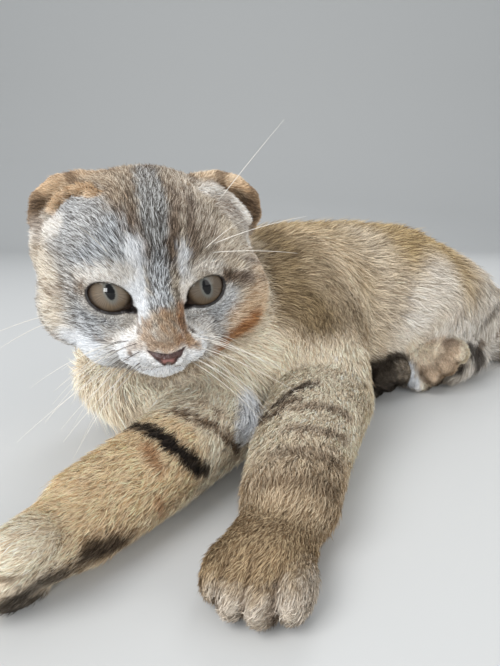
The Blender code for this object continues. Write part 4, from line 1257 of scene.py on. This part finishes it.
def hair_colours(coat, tuft_tone, draw):
    """Root, middle and tip of each hair: darkened below as painted shade deep in the coat, its own colour
    above, some tips dark.
    """
    light, dark, share = coat.light, coat.dark, coat.share
    count = len(share)
    is_dark = draw.uniform(size=count) < share + tuft_tone * 0.06
    main = np.where(is_dark[:, None], dark, light)
    main = main * np.exp(draw.normal(size=count) * 0.10 + tuft_tone * 0.07)[:, None]
    ticked = draw.uniform(size=count) < 0.5 * share
    tip = np.where(ticked[:, None], dark * 0.8 + main * 0.2, main * 1.1)
    # Painted shade: the root is darker, as shade deep in the coat.
    base = main * 0.62
    middle = main * 0.9 + light * 0.1
    return np.clip(np.stack([base, base, middle, middle, tip], axis=1), 0.003, 0.95)


def make_coat_pieces(zones, owner, vertices, colour, uv):
    """Joined meshes of hairs, one or more to each zone."""
    corners = np.array([0, 1, 2, 3, 3, 2, 4])
    shape = np.array([(-1, -1), (1, -1), (1, 0), (-1, 0), (0, 1)]) * 0.0015
    for i, zone in enumerate(zones):
        mine = np.flatnonzero(owner == i)
        parts = max(1, math.ceil(len(mine) / HAIRS_PER_PIECE))
        for part, hairs in enumerate(np.array_split(mine, parts)):
            if len(hairs) == 0:
                continue
            loops = (np.arange(len(hairs))[:, None] * 5 + corners).ravel()
            sizes = np.tile([4, 3], len(hairs))
            name = f"coat_{zone.name}_{part + 1}"
            piece = mesh_object(name, vertices[hairs].reshape(-1, 3), loops, sizes)
            set_colours(piece, colour[hairs].reshape(-1, 3))
            patch = (uv[hairs][:, None, :] + shape)[:, corners]
            set_unwrap(piece, patch.reshape(-1, 2))
            piece.data.materials.append(fur_material())
            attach(piece, "root")


# Materials.

def new_material(name):
    material = bpy.data.materials.new(name)
    material.use_nodes = True
    return material, material.node_tree.nodes, material.node_tree.links


def fur_material():
    """Hair in its own colours, with a fine streak of light and dark along it."""
    if "fur" in bpy.data.materials:
        return bpy.data.materials["fur"]
    material, nodes, links = new_material("fur")
    shader = nodes["Principled BSDF"]
    colour = nodes.new("ShaderNodeAttribute")
    colour.attribute_name = "Col"
    place = nodes.new("ShaderNodeTexCoord")
    noise = nodes.new("ShaderNodeTexNoise")
    noise.inputs["Scale"].default_value = 900.0
    noise.inputs["Detail"].default_value = 2.0
    levels = nodes.new("ShaderNodeMapRange")
    levels.inputs["To Min"].default_value = 0.86
    levels.inputs["To Max"].default_value = 1.12
    tint = nodes.new("ShaderNodeVectorMath")
    tint.operation = "SCALE"
    links.new(place.outputs["Object"], noise.inputs["Vector"])
    links.new(noise.outputs["Fac"], levels.inputs["Value"])
    links.new(colour.outputs["Color"], tint.inputs[0])
    links.new(levels.outputs["Result"], tint.inputs["Scale"])
    links.new(tint.outputs["Vector"], shader.inputs["Base Color"])
    shader.inputs["Roughness"].default_value = 0.62
    shader.inputs["Specular IOR Level"].default_value = 0.3
    return material


def skin_material():
    """Close underfur, and bare leather with a moist grain where the skin shows."""
    material, nodes, links = new_material("skin")
    shader = nodes["Principled BSDF"]
    colour = nodes.new("ShaderNodeAttribute")
    colour.attribute_name = "Col"
    bare = nodes.new("ShaderNodeAttribute")
    bare.attribute_name = "bare"
    place = nodes.new("ShaderNodeTexCoord")
    grain = nodes.new("ShaderNodeTexNoise")
    grain.inputs["Scale"].default_value = 1600.0
    grain.inputs["Detail"].default_value = 3.0
    pebble = nodes.new("ShaderNodeTexVoronoi")
    pebble.inputs["Scale"].default_value = 1500.0
    height = nodes.new("ShaderNodeMix")
    bump = nodes.new("ShaderNodeBump")
    bump.inputs["Strength"].default_value = 0.5
    bump.inputs["Distance"].default_value = 0.0004
    roughness = nodes.new("ShaderNodeMapRange")
    roughness.inputs["To Min"].default_value = 0.8
    roughness.inputs["To Max"].default_value = 0.36
    links.new(place.outputs["Object"], grain.inputs["Vector"])
    links.new(place.outputs["Object"], pebble.inputs["Vector"])
    links.new(bare.outputs["Fac"], height.inputs["Factor"])
    links.new(grain.outputs["Fac"], height.inputs["A"])
    links.new(pebble.outputs["Distance"], height.inputs["B"])
    links.new(height.outputs["Result"], bump.inputs["Height"])
    links.new(bare.outputs["Fac"], roughness.inputs["Value"])
    links.new(colour.outputs["Color"], shader.inputs["Base Color"])
    links.new(roughness.outputs["Result"], shader.inputs["Roughness"])
    links.new(bump.outputs["Normal"], shader.inputs["Normal"])
    return material


def eye_material():
    material, nodes, links = new_material("eye")
    shader = nodes["Principled BSDF"]
    colour = nodes.new("ShaderNodeAttribute")
    colour.attribute_name = "Col"
    links.new(colour.outputs["Color"], shader.inputs["Base Color"])
    shader.inputs["Roughness"].default_value = 0.6
    shader.inputs["Specular IOR Level"].default_value = 0.0
    shader.inputs["Coat Weight"].default_value = 1.0
    shader.inputs["Coat Roughness"].default_value = 0.02
    shader.inputs["Coat IOR"].default_value = 1.38
    return material


def whisker_material():
    material, nodes, links = new_material("whisker")
    shader = nodes["Principled BSDF"]
    colour = nodes.new("ShaderNodeAttribute")
    colour.attribute_name = "Col"
    links.new(colour.outputs["Color"], shader.inputs["Base Color"])
    shader.inputs["Roughness"].default_value = 0.35
    return material


# Eyes. The ball faces forward along its frame, so that rings of the mesh are rings of the iris.

IRIS_RADIUS = 6.5
PUPIL_HALF_WIDE = 1.4
PUPIL_HALF_TALL = 2.6
GAZE = {1.0: (7.8, 7.5), -1.0: (-6.8, 10.8)}
# How far each iris is darkened: the left one most, as painted shade on the side turned from the light.
IRIS_PAINTED_SHADE = {1.0: 0.66, -1.0: 0.95}
PUPIL_LEAN = 14.0
EYE_RINGS = 90
EYE_SPOKES = 128


def gaze_frame(side):
    """The eyeball's own frame. Both pupils look at the camera and lean alike, whatever the lids do."""
    f, l, u = EYE_PLACE
    heading, pitch = GAZE[side]
    return HEAD.child((f, side * l, u), heading=heading, pitch=pitch, roll=PUPIL_LEAN)


def make_eye(side, name):
    base = gaze_frame(side)
    opening = np.linspace(0.0, math.pi, EYE_RINGS + 1)[1:-1]
    around = np.arange(EYE_SPOKES) * 2.0 * math.pi / EYE_SPOKES
    ring, spoke = np.meshgrid(opening, around, indexing="ij")
    f = np.cos(ring)
    l = np.sin(ring) * np.cos(spoke)
    u = np.sin(ring) * np.sin(spoke)
    local = np.stack([f, l, u], axis=-1).reshape(-1, 3) * EYE_RADIUS
    local = np.concatenate([local, [(EYE_RADIUS, 0, 0), (-EYE_RADIUS, 0, 0)]])
    loops, sizes = ring_faces(len(opening), EYE_SPOKES, len(local) - 2, len(local) - 1)
    eye = mesh_object(name, base.origin + local @ base.axes, loops, sizes)
    set_colours(eye, eye_colours(local, IRIS_PAINTED_SHADE[side]))
    eye.data.materials.append(eye_material())
    return eye


def ring_faces(rings, spokes, first_pole, last_pole):
    """Corner numbers of a ball's faces, ring by ring, closed by a fan at each pole."""
    loops, sizes = [], []
    step = np.arange(spokes)
    following = (step + 1) % spokes
    for r in range(rings - 1):
        here, there = r * spokes, (r + 1) * spokes
        loops.append(np.stack([here + step, there + step, there + following, here + following], 1).ravel())
        sizes.append(np.full(spokes, 4))
    loops.append(np.stack([np.full(spokes, first_pole), step, following], 1).ravel())
    last = (rings - 1) * spokes
    loops.append(np.stack([np.full(spokes, last_pole), last + following, last + step], 1).ravel())
    sizes += [np.full(spokes, 3), np.full(spokes, 3)]
    return np.concatenate(loops), np.concatenate(sizes)


def eye_colours(local, shade):
    """Black upright pupil, a blue-grey ring that is a painted reflection of the sky, hazel fibres
    with painted shade of the upper lid at the top, a dark edge and a brown-white ball.
    """
    l, u = local[:, 1], local[:, 2]
    radius = np.hypot(l, u)
    around = np.arctan2(u, l)
    fibre = np.sin(around * 37.0 + 3.0 * np.sin(around * 5.0)) * 0.5 + np.sin(around * 83.0 + radius * 1.7) * 0.5
    colour = np.tile(tone(112, 100, 86), (len(local), 1))
    # The side's painted shade darkens the whole iris.
    colour *= shade * (1.0 + 0.3 * fibre * smoothstep(1.5, 3.0, radius))[:, None]
    warm = smoothstep(3.4, 5.6, radius)
    colour += (tone(90, 74, 56) - colour) * (0.65 * warm)[:, None]
    # Painted shade of the upper lid over the top of the iris.
    colour *= (1.0 - 0.45 * smoothstep(1.0, 5.0, u))[:, None]
    pupil = np.hypot(l / PUPIL_HALF_WIDE, u / PUPIL_HALF_TALL)
    # A blue-grey ring round the pupil: a painted reflection of the sky.
    ring = 1.0 - smoothstep(1.05, 1.8, pupil)
    colour += (tone(98, 104, 102) - colour) * (0.6 * ring)[:, None]
    edge = smoothstep(IRIS_RADIUS - 1.5, IRIS_RADIUS - 0.1, radius)
    colour += (tone(40, 30, 22) - colour) * (0.92 * edge)[:, None]
    colour += (tone(8, 8, 9) - colour) * (1.0 - smoothstep(0.92, 1.06, pupil))[:, None]
    ball_part = np.maximum(smoothstep(IRIS_RADIUS, IRIS_RADIUS + 0.5, radius), local[:, 0] < 0.0)
    colour += (tone(58, 46, 40) - colour) * ball_part[:, None]
    return np.clip(colour, 0.002, 1.0)


# Whiskers, given by a root on the face, the way they leave it, their length and how far they droop.

Whisker = namedtuple("Whisker", "root way length droop")

WHISKER_THICK = 0.11
WHISKER_STEPS = 14


def whiskers():
    """Rows on both whisker pads, and a few over the eyes and on the cheeks."""
    draw = np.random.default_rng(SEED + 1)
    found = []
    for side in (1.0, -1.0):
        for row in range(4):
            for column in range(4):
                root = (15.5 - 2.2 * column, side * (7.5 + 1.9 * column), -12.5 - 1.9 * row - 0.3 * column)
                way = (0.25 - 0.2 * column, side * (1.0 + 0.1 * row), -0.12 - 0.24 * row)
                length = (40.0 - 5.0 * abs(row - 1.5) - 4.0 * column) * draw.uniform(0.75, 1.1)
                way = np.array(way) + draw.normal(size=3) * 0.07
                found.append(Whisker(root, way, length, draw.uniform(6.0, 13.0)))
    found += [
        Whisker((6.0, 16.5, 15.0), (0.35, 0.86, 0.42), 34.0, 4.0),
        Whisker((6.0, 16.0, 13.0), (0.35, 0.92, 0.12), 29.0, 3.0),
        Whisker((7.0, 14.0, 14.0), (0.60, 0.55, 0.75), 24.0, 4.0),
        Whisker((-9.0, 24.0, 28.0), (0.25, 0.60, 0.80), 36.0, 1.0),
        Whisker((8.0, -14.0, 14.0), (0.55, -0.45, 0.75), 22.0, 4.0),
        Whisker((-6.0, -36.0, -8.0), (0.25, -0.95, -0.05), 24.0, 4.0),
        Whisker((-5.0, -35.0, -10.0), (0.25, -0.95, -0.20), 22.0, 4.0),
    ]
    return found


def make_whiskers(clay_skin):
    points, loops, sizes, colours = [], [], [], []
    sides = 5
    for hair in whiskers():
        root = HEAD.place(hair.root)
        way = unit(np.asarray(hair.way, float) @ HEAD.axes)
        nearest = clay_skin[np.argmin(np.linalg.norm(clay_skin - root, axis=1))]
        t = np.linspace(0.0, 1.0, WHISKER_STEPS)
        line = nearest - way * 0.6 + np.outer(t, way) * hair.length
        line = line + np.outer(t * t, (0.0, 0.0, -1.0)) * hair.droop
        line[:, 2] = np.maximum(line[:, 2], 1.0)
        side = unit(np.cross(way, (0.0, 0.0, 1.0)))
        top = np.cross(side, way)
        thick = WHISKER_THICK * (1.0 - 0.92 * t) + 0.02
        first = sum(len(p) for p in points)
        angle = np.arange(sides) * 2.0 * math.pi / sides
        ring = np.outer(np.cos(angle), side) + np.outer(np.sin(angle), top)
        points.append((line[:, None, :] + ring[None] * thick[:, None, None]).reshape(-1, 3))
        step = np.arange(sides)
        for s in range(WHISKER_STEPS - 1):
            here, there = first + s * sides, first + (s + 1) * sides
            following = (step + 1) % sides
            loops.append(np.stack([here + step, here + following, there + following, there + step], 1).ravel())
            sizes.append(np.full(sides, 4))
        loops.append(first + step[::-1])
        loops.append(first + (WHISKER_STEPS - 1) * sides + step)
        sizes.append(np.array([sides, sides]))
        dark_root = 0.55 if hair.root[1] < 0.0 and hair.root[2] < -10.0 else 0.14
        shade = tone(232, 226, 216) + np.outer(smoothstep(dark_root, 0.0, t), tone(50, 42, 36) - tone(232, 226, 216))
        colours.append(np.repeat(shade, sides, axis=0))
    made = mesh_object("whiskers", np.concatenate(points), np.concatenate(loops), np.concatenate(sizes))
    set_colours(made, np.concatenate(colours))
    made.data.materials.append(whisker_material())
    return made


# Floor, light and camera.

def make_stage():
    """A pale floor that curves up far behind into a pale wall."""
    profile = [(-1.5, 0.0)]
    for i in range(13):
        a = math.radians(7.5 * i)
        profile.append((1.2 + 0.6 * math.sin(a), 0.6 - 0.6 * math.cos(a)))
    profile.append((1.8, 3.0))
    mesh = bpy.data.meshes.new("floor")
    points = [(x, y, z) for y, z in profile for x in (-3.0, 3.0)]
    faces = [(2 * i, 2 * i + 1, 2 * i + 3, 2 * i + 2) for i in range(len(profile) - 1)]
    mesh.from_pydata(points, [], faces)
    mesh.shade_smooth()
    floor = bpy.data.objects.new("floor", mesh)
    bpy.context.scene.collection.objects.link(floor)
    material, nodes, links = new_material("floor")
    shader = nodes["Principled BSDF"]
    shader.inputs["Base Color"].default_value = (0.60, 0.60, 0.59, 1.0)
    shader.inputs["Roughness"].default_value = 0.85
    mesh.materials.append(material)


def area_light(name, place, target, power, size, colour):
    light = bpy.data.lights.new(name, "AREA")
    light.energy = power
    light.size = size
    light.color = colour
    thing = bpy.data.objects.new(name, light)
    thing.location = place
    thing.rotation_euler = (Vector(target) - Vector(place)).to_track_quat("-Z", "Y").to_euler()
    bpy.context.scene.collection.objects.link(thing)


def make_lights():
    world = bpy.data.worlds.new("studio")
    bpy.context.scene.world = world
    world.use_nodes = True
    background = world.node_tree.nodes["Background"]
    background.inputs["Color"].default_value = (0.90, 0.95, 1.0, 1.0)
    background.inputs["Strength"].default_value = 0.58
    middle = (0.0, 0.0, 0.05)
    area_light("window", (-0.7, -0.7, 0.9), middle, 10.5, 0.7, (0.98, 0.99, 1.0))
    area_light("front", (-0.34, -1.08, 0.22), middle, 4.4, 0.25, (0.98, 0.99, 1.0))
    area_light("fill", (0.8, -0.6, 0.5), middle, 3.2, 0.8, (1.0, 0.97, 0.92))
    area_light("back", (0.2, 0.9, 0.9), middle, 4.0, 0.6, (0.95, 0.97, 1.0))


def make_camera():
    """The photograph's place and angle, with a field of view as wide as the image is tall to it."""
    camera = bpy.data.cameras.new("camera")
    camera.sensor_fit = "VERTICAL"
    camera.sensor_width = IMAGE_SIZE[0] / 10.0
    camera.sensor_height = IMAGE_SIZE[1] / 10.0
    camera.lens = 50.0
    camera.clip_start = 0.005
    thing = bpy.data.objects.new("camera", camera)
    thing.location = Vector(FLOOR.place((0.0, 0.0, CAMERA_HEIGHT))) * MM
    thing.rotation_euler = (math.radians(90.0 - CAMERA_DOWN), 0.0, 0.0)
    bpy.context.scene.collection.objects.link(thing)
    bpy.context.scene.camera = thing


def main():
    bpy.context.scene.view_settings.view_transform = "Standard"
    make_camera()
    make_lights()
    make_stage()
    zones = make_zones()
    points, quads = sculpt(zones)
    normals = normals_of(points, quads)
    weights = zone_weights(zones, points)
    coat = marked(zones, weights, points)
    skin = make_skin(zones, points, quads, normals, weights, coat)
    skin.data.materials.append(skin_material())
    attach(skin, "root")
    flesh = [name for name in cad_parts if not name.startswith("eye")]
    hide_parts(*flesh)
    for side, name in ((1.0, "left"), (-1.0, "right")):
        eye = make_eye(side, f"eyeball_{name}")
        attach(eye, "root")
        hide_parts(f"eye_{name}")
    grow(zones, points, quads, normals, weights)
    made = make_whiskers(points)
    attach(made, "root")


main()
